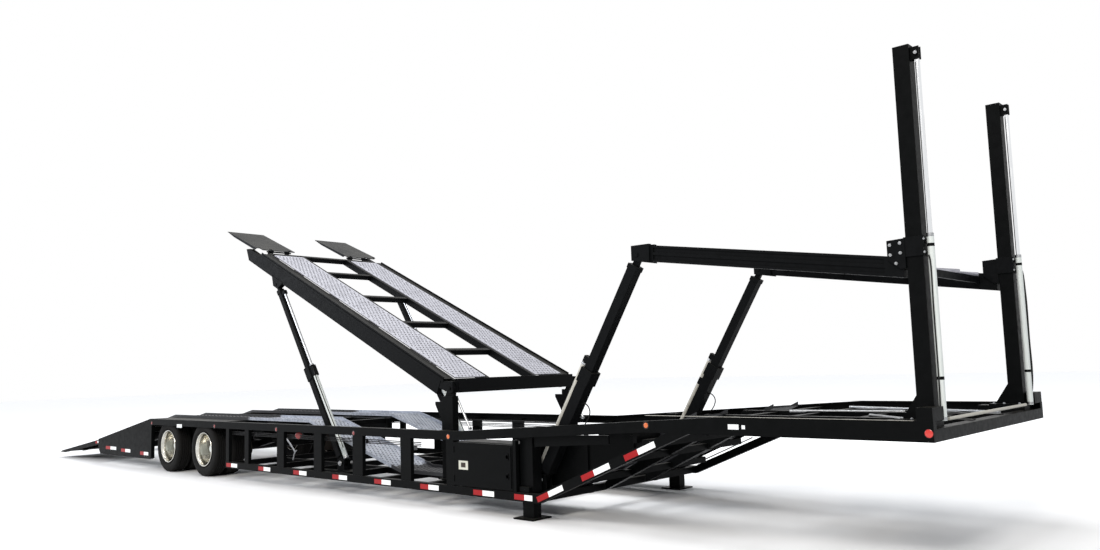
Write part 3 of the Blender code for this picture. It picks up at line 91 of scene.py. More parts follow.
# %% [markdown]
# The camera comes first, so that every later piece can be judged through it. It
# stands low ahead of the neck, on the right-hand side, and looks back along the
# trailer. Its turn, rise and roll were matched to straight edges of the real
# one, and the lens follows from the field of view.

# %% Camera
IMAGE_WIDTH = 1100
SENSOR_MM = 36.0
FOCAL_PIXELS = 885.372
CAMERA_PLACE = Vector((9.905, -7.177, 1.399))
CAMERA_YAW = 0.743
CAMERA_PITCH = 0.102
CAMERA_ROLL = -0.029


def camera_axes():
    """Right, up and forward of the camera, turned in that order."""
    level = Vector((-math.sin(CAMERA_YAW), math.cos(CAMERA_YAW), 0.0))
    across = Vector((math.cos(CAMERA_YAW), math.sin(CAMERA_YAW), 0.0))
    sky = Vector((0.0, 0.0, 1.0))
    forward = level * math.cos(CAMERA_PITCH) + sky * math.sin(CAMERA_PITCH)
    raised = sky * math.cos(CAMERA_PITCH) - level * math.sin(CAMERA_PITCH)
    right = across * math.cos(CAMERA_ROLL) + raised * math.sin(CAMERA_ROLL)
    up = raised * math.cos(CAMERA_ROLL) - across * math.sin(CAMERA_ROLL)
    return right, up, forward


camera_data = bpy.data.cameras.new("camera")
camera_data.sensor_width = SENSOR_MM
camera_data.lens = FOCAL_PIXELS * SENSOR_MM / IMAGE_WIDTH
camera_data.clip_end = 200.0
camera = bpy.data.objects.new("camera", camera_data)
bpy.context.scene.collection.objects.link(camera)
right, up, forward = camera_axes()
turn = Matrix((right, up, -forward)).transposed().to_4x4()
camera.matrix_world = Matrix.Translation(CAMERA_PLACE) @ turn
bpy.context.scene.camera = camera
print("lens", round(camera_data.lens, 2), "mm")

# %% [markdown]
# Finishes are written as sRGB hex values, as on a paint card, and Blender works
# in linear light. One function turns one into the other. A second one adds a
# shader node, sets its values and links its inputs, so that a finish reads as a
# short list of what feeds what.

# %% Colour and node helpers
def linear(colour):
    """A hex colour such as 8a8d90 as linear RGBA."""
    channels = []
    for i in (0, 2, 4):
        value = int(colour[i:i + 2], 16) / 255
        if value <= 0.04045:
            channels.append(value / 12.92)
        else:
            channels.append(((value + 0.055) / 1.055) ** 2.4)
    return (*channels, 1.0)


def add_node(material, kind, values=None, links=None, **settings):
    """Adds one node: settings are its properties, values and links its inputs."""
    node = material.node_tree.nodes.new(kind)
    for name, value in settings.items():
        setattr(node, name, value)
    for name, value in (values or {}).items():
        node.inputs[name].default_value = value
    for name, socket in (links or {}).items():
        material.node_tree.links.new(socket, node.inputs[name])
    return node


def new_material(name, **values):
    """A material whose shader takes plain values, such as Metallic=1.0."""
    material = bpy.data.materials.new(name)
    material.use_nodes = True
    shader = material.node_tree.nodes["Principled BSDF"]
    for socket, value in values.items():
        shader.inputs[socket.replace("_", " ")].default_value = value
    return material


def feed(material, socket, output):
    shader = material.node_tree.nodes["Principled BSDF"]
    material.node_tree.links.new(output, shader.inputs[socket])


def per_metre(size_mm):
    """How many grains of this size, in millimetres, fit in one metre."""
    return 1000.0 / size_mm


# Sockets of the mix node share names, so its factor and its colours go by number.
MIX_FACTOR, MIX_A, MIX_B, MIX_RESULT = 0, 6, 7, 2
print("a mid grey of 808080 is", round(linear("808080")[0], 3), "in linear light")

# %% [markdown]
# ** Enamel over steel.** Chassis steel is blasted, primed and sprayed with a
# two-part polyurethane enamel. New, it is a deep black with a soft gloss, and
# stone chips dull the lower runs. What faces up is drawn lighter, in patches:
# partly road dust that settles there, partly a painted sheen of the light from
# above. This follows the surface normal, which belongs to the trailer and not
# to the camera, so it stays put in every view. Grain is drawn coarser than real
# orange peel, which is under 2 mm, so that it shows at all from 8 m away.

# %% Black enamel
ORANGE_PEEL_MM = 9.0
DUST_AND_SHEEN_PATCH_MM = 420.0
SCUFF_MM = 60.0
EDGE_ROUND = 2.5 * MM


def black_enamel(name, deep, worn, dust_and_sheen, dust_and_sheen_share, roughness):
    material = new_material(name, Roughness=roughness, Specular_IOR_Level=0.04)
    place = add_node(material, "ShaderNodeTexCoord").outputs["Object"]
    facing = add_node(material, "ShaderNodeNewGeometry").outputs["Normal"]
    upward = add_node(material, "ShaderNodeSeparateXYZ", links={"Vector": facing}).outputs["Z"]
    patches = add_node(
        material,
        "ShaderNodeTexNoise",
        {"Scale": per_metre(DUST_AND_SHEEN_PATCH_MM), "Detail": 5.0, "Roughness": 0.62},
        {"Vector": place},
    ).outputs["Fac"]
    scuffs = add_node(
        material,
        "ShaderNodeTexNoise",
        {"Scale": per_metre(SCUFF_MM), "Detail": 6.0, "Roughness": 0.7},
        {"Vector": place},
    ).outputs["Fac"]
    paint = add_node(
        material,
        "ShaderNodeMix",
        {MIX_A: linear(deep), MIX_B: linear(worn)},
        {MIX_FACTOR: scuffs},
        data_type="RGBA",
    ).outputs[MIX_RESULT]
    # Faces that point up get the lighter colour in patches: partly road dust, partly a painted sheen of
    # the light from above.
    dust_and_sheen_up = add_node(
        material,
        "ShaderNodeMapRange",
        {"From Min": 0.35, "From Max": 1.0, "To Min": 0.0, "To Max": dust_and_sheen_share},
        {"Value": upward},
    ).outputs["Result"]
    dust_and_sheen_mask = add_node(
        material,
        "ShaderNodeMath",
        links={0: dust_and_sheen_up, 1: patches},
        operation="MULTIPLY",
    ).outputs["Value"]
    colour = add_node(
        material,
        "ShaderNodeMix",
        {MIX_B: linear(dust_and_sheen)},
        {MIX_FACTOR: dust_and_sheen_mask, MIX_A: paint},
        data_type="RGBA",
    ).outputs[MIX_RESULT]
    gloss = add_node(
        material,
        "ShaderNodeMapRange",
        {"From Min": 0.3, "From Max": 0.7, "To Min": roughness - 0.07, "To Max": roughness + 0.13},
        {"Value": scuffs},
    ).outputs["Result"]
    peel = add_node(
        material,
        "ShaderNodeTexNoise",
        {"Scale": per_metre(ORANGE_PEEL_MM), "Detail": 2.0},
        {"Vector": place},
    ).outputs["Fac"]
    rounded = add_node(
        material, "ShaderNodeBevel", {"Radius": EDGE_ROUND}, samples=4
    ).outputs["Normal"]
    bump = add_node(
        material,
        "ShaderNodeBump",
        {"Strength": 0.10, "Distance": 0.4 * MM},
        {"Height": peel, "Normal": rounded},
    ).outputs["Normal"]
    feed(material, "Base Color", colour)
    feed(material, "Roughness", gloss)
    feed(material, "Normal", bump)
    return material


frame_enamel = black_enamel(
    "black_chassis_enamel", "040505", "0c0d0e", "4c4a44", dust_and_sheen_share=0.26, roughness=0.36
)
deck_enamel = black_enamel(
    "black_deck_enamel", "060707", "101113", "4f4d48", dust_and_sheen_share=0.26, roughness=0.40
)
ramp_enamel = black_enamel(
    "grey_black_ramp_enamel", "1c1d20", "2b2d30", "77756f", dust_and_sheen_share=0.35, roughness=0.55
)
print("black enamels", frame_enamel.name, deck_enamel.name, ramp_enamel.name)

# %% [markdown]
# **Galvanised traction plate.** The cars' wheels roll on sheet steel that is
# pressed with raised buttons and dipped in zinc. It weathers to a pale, faintly
# blue grey with cloudy spangle, darker where rubber has marked it. The spangle
# is a Voronoi pattern, because zinc crystals really do meet at straight
# borders. The same pattern serves the shadowed edge of a punched hole and, with
# a finer grain, the zinc on bolts.

# %% Zinc
SPANGLE_MM = 22.0
BOLT_GRAIN_MM = 9.0
RUBBER_MARK_MM = 260.0


def clouded_metal(name, light, dark, stain, grain_mm, rough_low, rough_high, metallic):
    material = new_material(name, Metallic=metallic)
    place = add_node(material, "ShaderNodeTexCoord").outputs["Object"]
    crystals = add_node(
        material,
        "ShaderNodeTexVoronoi",
        {"Scale": per_metre(grain_mm), "Randomness": 1.0},
        {"Vector": place},
    ).outputs["Color"]
    shade = add_node(material, "ShaderNodeRGBToBW", links={"Color": crystals}).outputs["Val"]
    clouds = add_node(
        material,
        "ShaderNodeTexNoise",
        {"Scale": per_metre(RUBBER_MARK_MM), "Detail": 6.0, "Roughness": 0.65},
        {"Vector": place},
    ).outputs["Fac"]
    metal = add_node(
        material,
        "ShaderNodeMix",
        {MIX_A: linear(dark), MIX_B: linear(light)},
        {MIX_FACTOR: shade},
        data_type="RGBA",
    ).outputs[MIX_RESULT]
    marks = add_node(
        material,
        "ShaderNodeMapRange",
        {"From Min": 0.52, "From Max": 0.78, "To Min": 0.0, "To Max": 0.55},
        {"Value": clouds},
    ).outputs["Result"]
    colour = add_node(
        material,
        "ShaderNodeMix",
        {MIX_B: linear(stain)},
        {MIX_FACTOR: marks, MIX_A: metal},
        data_type="RGBA",
    ).outputs[MIX_RESULT]
    gloss = add_node(
        material,
        "ShaderNodeMapRange",
        {"From Min": 0.3, "From Max": 0.75, "To Min": rough_low, "To Max": rough_high},
        {"Value": clouds},
    ).outputs["Result"]
    bump = add_node(
        material,
        "ShaderNodeBump",
        {"Strength": 0.12, "Distance": 0.5 * MM},
        {"Height": shade},
    ).outputs["Normal"]
    feed(material, "Base Color", colour)
    feed(material, "Roughness", gloss)
    feed(material, "Normal", bump)
    return material


tread_zinc = clouded_metal(
    "galvanised_traction_plate",
    "a3a4ac",
    "8f9099",
    "66666c",
    grain_mm=SPANGLE_MM,
    rough_low=0.42,
    rough_high=0.62,
    metallic=0.45,
)
# The dark finish of the buttons' holes is painted shade: the hole's wall and the floor that closes it.
hole_shade = clouded_metal(
    "shadowed_punched_edge",
    "2a2a2f",
    "1c1c20",
    "131315",
    grain_mm=SPANGLE_MM,
    rough_low=0.6,
    rough_high=0.8,
    metallic=0.3,
)
bolt_zinc = clouded_metal(
    "zinc_plated_steel",
    "b9bbbd",
    "8f9194",
    "6a6a66",
    grain_mm=BOLT_GRAIN_MM,
    rough_low=0.25,
    rough_high=0.45,
    metallic=1.0,
)
print("zinc finishes", tread_zinc.name, hole_shade.name, bolt_zinc.name)

# %% [markdown]
# ** Dark ends.** The lower tracks are drawn dark, except in the well between the
# posts, where they show the zinc. The light stretch is found from the place
# along X. A noise shifts that place first, so the border comes out ragged.

# %% Dark ends on the lower tracks
WELL_X = (-1.60, 1.60)
WELL_METALLIC = 0.55
BORDER_NOISE_MM = 180.0
BORDER_SHIFT = 0.35
BORDER_FROM, BORDER_TO = 0.14, 0.20


def dark_ends(material, low, high, paint, metallic):
    """Dark colour, given as paint, on a plate except along one stretch of X, with a ragged border."""
    metal = material.node_tree.nodes["Principled BSDF"].inputs["Base Color"].links[0].from_socket
    place = add_node(material, "ShaderNodeTexCoord").outputs["Object"]
    along = add_node(material, "ShaderNodeSeparateXYZ", links={"Vector": place}).outputs["X"]
    rag = add_node(
        material,
        "ShaderNodeTexNoise",
        {"Scale": per_metre(BORDER_NOISE_MM), "Detail": 6.0, "Roughness": 0.7},
        {"Vector": place},
    ).outputs["Fac"]
    border = add_node(
        material,
        "ShaderNodeMath",
        {1: BORDER_SHIFT},
        {0: rag, 2: along},
        operation="MULTIPLY_ADD",
    ).outputs["Value"]
    after_low = add_node(
        material,
        "ShaderNodeMapRange",
        {"From Min": low + BORDER_FROM, "From Max": low + BORDER_TO},
        {"Value": border},
    ).outputs["Result"]
    start, stop = high + BORDER_FROM, high + BORDER_TO
    before_high = add_node(
        material,
        "ShaderNodeMapRange",
        {"From Min": start, "From Max": stop, "To Min": 1.0, "To Max": 0.0},
        {"Value": border},
    ).outputs["Result"]
    light_in_well = add_node(
        material,
        "ShaderNodeMath",
        links={0: after_low, 1: before_high},
        operation="MULTIPLY",
    ).outputs["Value"]
    colour = add_node(
        material,
        "ShaderNodeMix",
        {MIX_A: linear(paint)},
        {MIX_FACTOR: light_in_well, MIX_B: metal},
        data_type="RGBA",
    ).outputs[MIX_RESULT]
    share = add_node(
        material,
        "ShaderNodeMath",
        {1: metallic},
        {0: light_in_well},
        operation="MULTIPLY",
    ).outputs["Value"]
    feed(material, "Base Color", colour)
    feed(material, "Metallic", share)


track_zinc = clouded_metal(
    "traction_plate_worn_bare_in_the_well",
    "bfc3cc",
    "9299a6",
    "5d6068",
    grain_mm=SPANGLE_MM,
    rough_low=0.38,
    rough_high=0.62,
    metallic=WELL_METALLIC,
)
dark_ends(track_zinc, WELL_X[0], WELL_X[1], "15161a", WELL_METALLIC)
print("track plate is bare from x =", WELL_X[0], "to", WELL_X[1])

# %% [markdown]
# **Hard chrome and silver paint.** A cylinder's rod is ground round and plated
# with hard chrome, nearly a mirror with a thin film of oil. Its barrel is drawn
# tube in silver-grey paint, and road dust dulls the barrels near the ground.
# All are the same kind of pattern: a metal or a paint with long streaks that
# run along the tube, so the pattern is stretched along Z.

# %% Chrome and barrel paint
STREAK_MM = 14.0
STREAK_SQUEEZE = (1.0, 1.0, 0.08)


def streaked(name, light, dark, rough_low, rough_high, metallic):
    material = new_material(name, Metallic=metallic)
    place = add_node(material, "ShaderNodeTexCoord").outputs["Object"]
    drawn = add_node(
        material,
        "ShaderNodeMapping",
        {"Scale": STREAK_SQUEEZE},
        {"Vector": place},
    ).outputs["Vector"]
    streaks = add_node(
        material,
        "ShaderNodeTexNoise",
        {"Scale": per_metre(STREAK_MM), "Detail": 4.0, "Roughness": 0.6},
        {"Vector": drawn},
    ).outputs["Fac"]
    colour = add_node(
        material,
        "ShaderNodeMix",
        {MIX_A: linear(dark), MIX_B: linear(light)},
        {MIX_FACTOR: streaks},
        data_type="RGBA",
    ).outputs[MIX_RESULT]
    gloss = add_node(
        material,
        "ShaderNodeMapRange",
        {"From Min": 0.3, "From Max": 0.7, "To Min": rough_low, "To Max": rough_high},
        {"Value": streaks},
    ).outputs["Result"]
    feed(material, "Base Color", colour)
    feed(material, "Roughness", gloss)
    return material


hard_chrome = streaked(
    "hard_chrome_rod", "f2f3f4", "d9dbde", rough_low=0.08, rough_high=0.20, metallic=1.0
)
barrel_paint = streaked(
    "silver_barrel_paint", "dde2e0", "bcc3c1", rough_low=0.25, rough_high=0.42, metallic=0.15
)
dusty_barrel = streaked(
    "dusty_barrel_paint", "c4c2ba", "8f8c82", rough_low=0.40, rough_high=0.60, metallic=0.15
)
print("cylinder finishes", hard_chrome.name, barrel_paint.name, dusty_barrel.name)

# %% [markdown]
# **Forged aluminium wheels.** The wheel is forged, turned on a lathe and
# polished. Turning leaves very fine rings about the axle, which stretch every
# highlight round the dish. The rings are a sine of the distance from the axle
# line, in the wheel's own coordinates, so they turn with the wheel.
# Real rings are about 0.1 mm apart. They are drawn at 5 mm here.

# %% Polished aluminium
LATHE_RING_MM = 5.0
GRIME_MM = 160.0


def lathe_polished(name, light, dark, centre):
    material = new_material(name, Metallic=1.0)
    place = add_node(material, "ShaderNodeTexCoord").outputs["Object"]
    from_axle = add_node(
        material,
        "ShaderNodeVectorMath",
        {1: centre},
        {0: place},
        operation="SUBTRACT",
    ).outputs["Vector"]
    across = add_node(
        material,
        "ShaderNodeVectorMath",
        {1: (1.0, 0.0, 1.0)},
        {0: from_axle},
        operation="MULTIPLY",
    ).outputs["Vector"]
    radius = add_node(
        material,
        "ShaderNodeVectorMath",
        links={0: across},
        operation="LENGTH",
    ).outputs["Value"]
    rings = add_node(
        material,
        "ShaderNodeMath",
        {1: 2 * math.pi * per_metre(LATHE_RING_MM)},
        {0: radius},
        operation="MULTIPLY",
    ).outputs["Value"]
    wave = add_node(material, "ShaderNodeMath", links={0: rings}, operation="SINE").outputs["Value"]
    grime = add_node(
        material,
        "ShaderNodeTexNoise",
        {"Scale": per_metre(GRIME_MM), "Detail": 3.0, "Roughness": 0.5},
        {"Vector": place},
    ).outputs["Fac"]
    dull = add_node(
        material,
        "ShaderNodeMapRange",
        {"From Min": 0.45, "From Max": 0.80, "To Min": 0.0, "To Max": 0.40},
        {"Value": grime},
    ).outputs["Result"]
    colour = add_node(
        material,
        "ShaderNodeMix",
        {MIX_A: linear(light), MIX_B: linear(dark)},
        {MIX_FACTOR: dull},
        data_type="RGBA",
    ).outputs[MIX_RESULT]
    gloss = add_node(
        material,
        "ShaderNodeMapRange",
        {"From Min": 0.3, "From Max": 0.75, "To Min": 0.12, "To Max": 0.26},
        {"Value": grime},
    ).outputs["Result"]
    bump = add_node(
        material,
        "ShaderNodeBump",
        {"Strength": 0.06, "Distance": 0.2 * MM},
        {"Height": wave},
    ).outputs["Normal"]
    feed(material, "Base Color", colour)
    feed(material, "Roughness", gloss)
    feed(material, "Normal", bump)
    return material


wheel_polish = {}
for axle_name, distance in AXLES:
    wheel_polish[axle_name] = lathe_polished(
        "polished_forged_wheel_" + axle_name, "dddbd3", "7d776b", at(distance, TYRE_RADIUS)
    )
print("wheel finishes", [material.name for material in wheel_polish.values()])

# %% [markdown]
# **Rubber, cast iron and plate enamel.** Tyre rubber is filled with carbon
# black: dark, matt, a little brown where dust is rubbed in. A brake drum is cast
# in sand and rusts a little, and the blank plate is sheet metal in dull white
# enamel. All three have a fine grain to feel and larger patches to see.

# %% Rubber, iron and plate enamel
RUBBER_GRAIN_MM = 6.0


def grained(name, colour, worn, grain_mm, patch_mm, roughness, bump_mm, **shader):
    """A moulded or cast surface: fine grain for the bump, patches for the colour."""
    material = new_material(name, **shader)
    place = add_node(material, "ShaderNodeTexCoord").outputs["Object"]
    grain = add_node(
        material,
        "ShaderNodeTexNoise",
        {"Scale": per_metre(grain_mm), "Detail": 3.0},
        {"Vector": place},
    ).outputs["Fac"]
    patches = add_node(
        material,
        "ShaderNodeTexNoise",
        {"Scale": per_metre(patch_mm), "Detail": 5.0, "Roughness": 0.65},
        {"Vector": place},
    ).outputs["Fac"]
    mixed = add_node(
        material,
        "ShaderNodeMix",
        {MIX_A: linear(colour), MIX_B: linear(worn)},
        {MIX_FACTOR: patches},
        data_type="RGBA",
    ).outputs[MIX_RESULT]
    gloss = add_node(
        material,
        "ShaderNodeMapRange",
        {"From Min": 0.3, "From Max": 0.7, "To Min": roughness - 0.08, "To Max": roughness + 0.08},
        {"Value": patches},
    ).outputs["Result"]
    bump = add_node(
        material,
        "ShaderNodeBump",
        {"Strength": 0.35, "Distance": bump_mm * MM},
        {"Height": grain},
    ).outputs["Normal"]
    feed(material, "Base Color", mixed)
    feed(material, "Roughness", gloss)
    feed(material, "Normal", bump)
    return material


tyre_rubber = grained(
    "tyre_rubber",
    "0b0b0b",
    "161514",
    grain_mm=RUBBER_GRAIN_MM,
    patch_mm=120.0,
    roughness=0.80,
    bump_mm=0.5,
    Specular_IOR_Level=0.15,
)
hose_rubber = grained(
    "hose_rubber",
    "0c0c0d",
    "161617",
    grain_mm=5.0,
    patch_mm=90.0,
    roughness=0.55,
    bump_mm=0.3,
    Specular_IOR_Level=0.2,
)
drum_iron = grained(
    "cast_iron_drum",
    "2c2a28",
    "40342b",
    grain_mm=5.0,
    patch_mm=60.0,
    roughness=0.62,
    bump_mm=0.5,
    Metallic=0.6,
)
plate_paint = grained(
    "white_plate_enamel", "cfcfc4", "a9a99c", grain_mm=4.0, patch_mm=50.0, roughness=0.45, bump_mm=0.2
)
print("grained finishes", tyre_rubber.name, hose_rubber.name, drum_iron.name, plate_paint.name)

# %% [markdown]
# **Lamp lenses.** A lens is moulded in clear coloured plastic, with small ribs
# or cells on its inside that spread the light. A Voronoi pattern gives the
# cells, a clear coat gives the smooth outside.

# %% Lamp lenses
LENS_RIB_MM = 7.0


def ribbed_lens(name, colour, deep):
    material = new_material(name, Roughness=0.14, Coat_Weight=0.5, Coat_Roughness=0.06)
    place = add_node(material, "ShaderNodeTexCoord").outputs["Object"]
    cells = add_node(
        material,
        "ShaderNodeTexVoronoi",
        {"Scale": per_metre(LENS_RIB_MM), "Randomness": 0.25},
        {"Vector": place},
    ).outputs["Distance"]
    tint = add_node(
        material,
        "ShaderNodeMix",
        {MIX_A: linear(colour), MIX_B: linear(deep)},
        {MIX_FACTOR: cells},
        data_type="RGBA",
    ).outputs[MIX_RESULT]
    bump = add_node(
        material,
        "ShaderNodeBump",
        {"Strength": 0.5, "Distance": 0.8 * MM},
        {"Height": cells},
    ).outputs["Normal"]
    feed(material, "Base Color", tint)
    feed(material, "Normal", bump)
    return material


red_lens = ribbed_lens("red_lens", "8c1410", "4a0807")
corner_lens = ribbed_lens("red_corner_lens", "d82a1c", "8e130d")
amber_lens = ribbed_lens("amber_lens", "e0702a", "8e3610")
print("lenses", red_lens.name, corner_lens.name, amber_lens.name)

# %% [markdown]
# **Reflective tape.** The strip is a plastic film of tiny prisms in a honeycomb
# of about 3 mm cells, drawn at 8 mm. The borders of the cells are a distance to
# the nearest edge of a regular Voronoi pattern.

# %% Reflective tape
PRISM_CELL_MM = 8.0


def prism_tape(name, colour, cell_edge):
    material = new_material(name, Roughness=0.36, Specular_IOR_Level=0.25)
    place = add_node(material, "ShaderNodeTexCoord").outputs["Object"]
    borders = add_node(
        material,
        "ShaderNodeTexVoronoi",
        {"Scale": per_metre(PRISM_CELL_MM), "Randomness": 0.0},
        {"Vector": place},
        feature="DISTANCE_TO_EDGE",
    ).outputs["Distance"]
    border = add_node(
        material,
        "ShaderNodeMapRange",
        {"From Min": 0.0, "From Max": 0.09, "To Min": 0.6, "To Max": 0.0},
        {"Value": borders},
    ).outputs["Result"]
    tint = add_node(
        material,
        "ShaderNodeMix",
        {MIX_A: linear(colour), MIX_B: linear(cell_edge)},
        {MIX_FACTOR: border},
        data_type="RGBA",
    ).outputs[MIX_RESULT]
    feed(material, "Base Color", tint)
    return material


tape_red = prism_tape("red_reflective_tape", "98070e", "6c0509")
tape_white = prism_tape("white_reflective_tape", "f1f3f3", "c9cfd2")
print("tapes", tape_red.name, tape_white.name)

# %% [markdown]
# Pieces are built as small meshes in code. A shape starts empty and grows. The
# first way to grow is a flat outline pulled sideways, and a block is the
# simplest outline of all.

# %% Blocks and prisms
def add_prism(shape, outline, y0, y1):
    """An outline of (distance, height) pairs, extruded from y0 to y1."""
    low, high = sorted((y0, y1))
    near = [shape.verts.new(at(d, z, low)) for d, z in outline]
    far = [shape.verts.new(at(d, z, high)) for d, z in outline]
    faces = [shape.faces.new(near), shape.faces.new(far[::-1])]
    for i in range(len(outline)):
        j = (i + 1) % len(outline)
        faces.append(shape.faces.new((near[j], near[i], far[i], far[j])))
    bmesh.ops.recalc_face_normals(shape, faces=faces)


def add_block(shape, d0, d1, y0, y1, z0, z1):
    add_prism(shape, ((d0, z0), (d1, z0), (d1, z1), (d0, z1)), y0, y1)


trial = bmesh.new()
add_block(trial, 0, 1, 0, 1, 0, 1)
print("a block has", len(trial.faces), "faces")
trial.free()

# %% [markdown]
# The second way is lathe work: a profile of radius and offset is turned round an
# axis. A point on the axis itself stays one point, where the faces close like
# slices of a pie.

# %% Turned shapes
ON_AXIS = 1e-6


def add_turned(shape, profile, centre, axis, segments):
    """A closed profile of (radius, offset along the axis) pairs, turned once round."""
    axis = Vector(axis).normalized()
    side = axis.orthogonal().normalized()
    other = axis.cross(side)
    rings = []
    for radius, offset in profile:
        middle = Vector(centre) + axis * offset
        if radius < ON_AXIS:
            rings.append([shape.verts.new(middle)])
            continue
        ring = []
        for i in range(segments):
            angle = 2 * math.pi * i / segments
            spoke = side * math.cos(angle) + other * math.sin(angle)
            ring.append(shape.verts.new(middle + spoke * radius))
        rings.append(ring)
    faces = []
    for first, second in zip(rings, rings[1:] + rings[:1]):
        for i in range(segments):
            j = (i + 1) % segments
            if len(first) == 1 and len(second) == 1:
                continue
            if len(first) == 1:
                faces.append(shape.faces.new((first[0], second[i], second[j])))
            elif len(second) == 1:
                faces.append(shape.faces.new((first[i], first[j], second[0])))
            else:
                faces.append(shape.faces.new((first[i], first[j], second[j], second[i])))
    bmesh.ops.recalc_face_normals(shape, faces=faces)


trial = bmesh.new()
add_turned(trial, ((0.0, 0.0), (1.0, 0.0), (0.0, 1.0)), (0, 0, 0), (0, 0, 1), 12)
print("a turned cone of 12 steps has", len(trial.faces), "faces")
trial.free()

# %% [markdown]
# Rods, sleeves and bolts are all turned, and differ in their profile and in the
# number of steps: a bolt head has six. Each gets a small chamfer, because a
# real edge is never sharp and a chamfer catches the light.

# %% Rods, sleeves and bolts
ROD_CHAMFER = 0.12  # share of the radius
SLEEVE_CHAMFER = 1.5 * MM


def add_rod(shape, start, end, radius, segments):
    start, end = Vector(start), Vector(end)
    length = (end - start).length
    cut = radius * ROD_CHAMFER
    profile = (
        (0.0, 0.0),
        (radius - cut, 0.0),
        (radius, cut),
        (radius, length - cut),
        (radius - cut, length),
        (0.0, length),
    )
    add_turned(shape, profile, start, end - start, segments)


def add_sleeve(shape, start, end, inner, outer, segments=32):
    """A tube with open ends and small chamfers, to slip over a rod or a barrel."""
    start, end = Vector(start), Vector(end)
    length = (end - start).length
    edge = min(SLEEVE_CHAMFER, (outer - inner) / 3)
    profile = (
        (inner, 0.0),
        (outer - edge, 0.0),
        (outer, edge),
        (outer, length - edge),
        (outer - edge, length),
        (inner, length),
    )
    add_turned(shape, profile, start, end - start, segments)


def add_hex(shape, place, axis, across_flats, height, with_stud=True):
    """A hexagon nut or bolt head with a chamfer, and the end of its stud."""
    corner = across_flats / math.sqrt(3)
    profile = (
        (0.0, 0.0),
        (corner, 0.0),
        (corner, height * 0.82),
        (corner * 0.88, height),
        (0.0, height),
    )
    add_turned(shape, profile, place, axis, 6)
    if with_stud:
        stud_end = Vector(place) + Vector(axis).normalized() * height * 1.5
        add_rod(shape, place, stud_end, corner * 0.45, 10)


trial = bmesh.new()
add_hex(trial, (0, 0, 0), (0, 0, 1), 17 * MM, 7 * MM)
print("a bolt head with its stud has", len(trial.faces), "faces")
trial.free()

# %% [markdown]
# The last helpers make a shape a piece: they mark the sharp edges, give it a
# finish, and let it ride on a body of the trailer, so it moves when that body
# moves. Pipes and hoses are curves with a round section, because a bend is then
# given by a few points.

# %% From shape to piece
SHARP_ANGLE = math.radians(32)


def make_piece(shape, name, materials, body, replaced=()):
    """Turns a finished shape into a piece that rides on a body of the trailer."""
    for face in shape.faces:
        face.smooth = True
    for edge in shape.edges:
        if len(edge.link_faces) == 2:
            edge.smooth = edge.calc_face_angle(math.pi) < SHARP_ANGLE
    mesh = bpy.data.meshes.new(name)
    shape.to_mesh(mesh)
    shape.free()
    for material in materials if isinstance(materials, (list, tuple)) else (materials,):
        mesh.materials.append(material)
    piece = bpy.data.objects.new(name, mesh)
    bpy.context.scene.collection.objects.link(piece)
    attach(piece, body)
    if replaced:
        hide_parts(*replaced)
    return piece


def tube_piece(name, points, radius, material, body):
    """A pipe or a clamped hose: a smooth curve through points, with a round section."""
    curve = bpy.data.curves.new(name, "CURVE")
    curve.dimensions = "3D"
    curve.bevel_depth = radius
    curve.bevel_resolution = 4
    curve.resolution_u = 6
    curve.use_fill_caps = True
    spline = curve.splines.new("BEZIER")
    spline.bezier_points.add(len(points) - 1)
    for bezier, point in zip(spline.bezier_points, points):
        bezier.co = point
        bezier.handle_left_type = "AUTO"
        bezier.handle_right_type = "AUTO"
    curve.materials.append(material)
    piece = bpy.data.objects.new(name, curve)
    bpy.context.scene.collection.objects.link(piece)
    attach(piece, body)


print("edges sharper than", round(math.degrees(SHARP_ANGLE)), "degrees stay sharp")

# %% [markdown]
# First the solids themselves are painted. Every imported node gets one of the
# finishes above, by the beginning of its name.

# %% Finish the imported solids
NODE_FINISH = (  # start of the node's name, finish
    ("front_tread", tread_zinc),
    ("deck_tread", tread_zinc),
    ("lower_track", track_zinc),
    ("mast_rod", hard_chrome),
    ("mast_barrel", barrel_paint),
    ("flip_ramp", ramp_enamel),
    ("front_deck", deck_enamel),
    ("rear_deck", deck_enamel),
    ("front_arm", deck_enamel),
    ("rear_arm", deck_enamel),
    ("carriage", deck_enamel),
    ("tyre", tyre_rubber),
    ("wheel", drum_iron),
)
for name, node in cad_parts.items():
    finish = frame_enamel
    for start, candidate in NODE_FINISH:
        if name.startswith(start):
            finish = candidate
            break
    node.data.materials.clear()
    node.data.materials.append(finish)
print("finished", len(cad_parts), "solids")

# %% [markdown]
# **Tyres.** A low-profile trailer tyre has four straight grooves round it and
# shallow slots across its shoulders. A turned profile gives the grooves. The
# slots come from stepping the shoulder in and out as the profile goes round,
# which costs nothing in faces. The sidewall bulges, and a thin rib stands
# where it meets the rim.

# %% Tyres
TYRE_HALF = 0.1075
RIM_RADIUS = 0.235
TREAD_STEPS = 96
SLOT_EVERY = 4
GROOVE_DEPTH = 9 * MM
SLOT_DEPTH = 3.5 * MM
GROOVE_CENTRES = (-0.42, -0.14, 0.14, 0.42)  # shares of half the tyre's width
GROOVE_HALF = 0.045
GROOVE_EDGE = 0.02


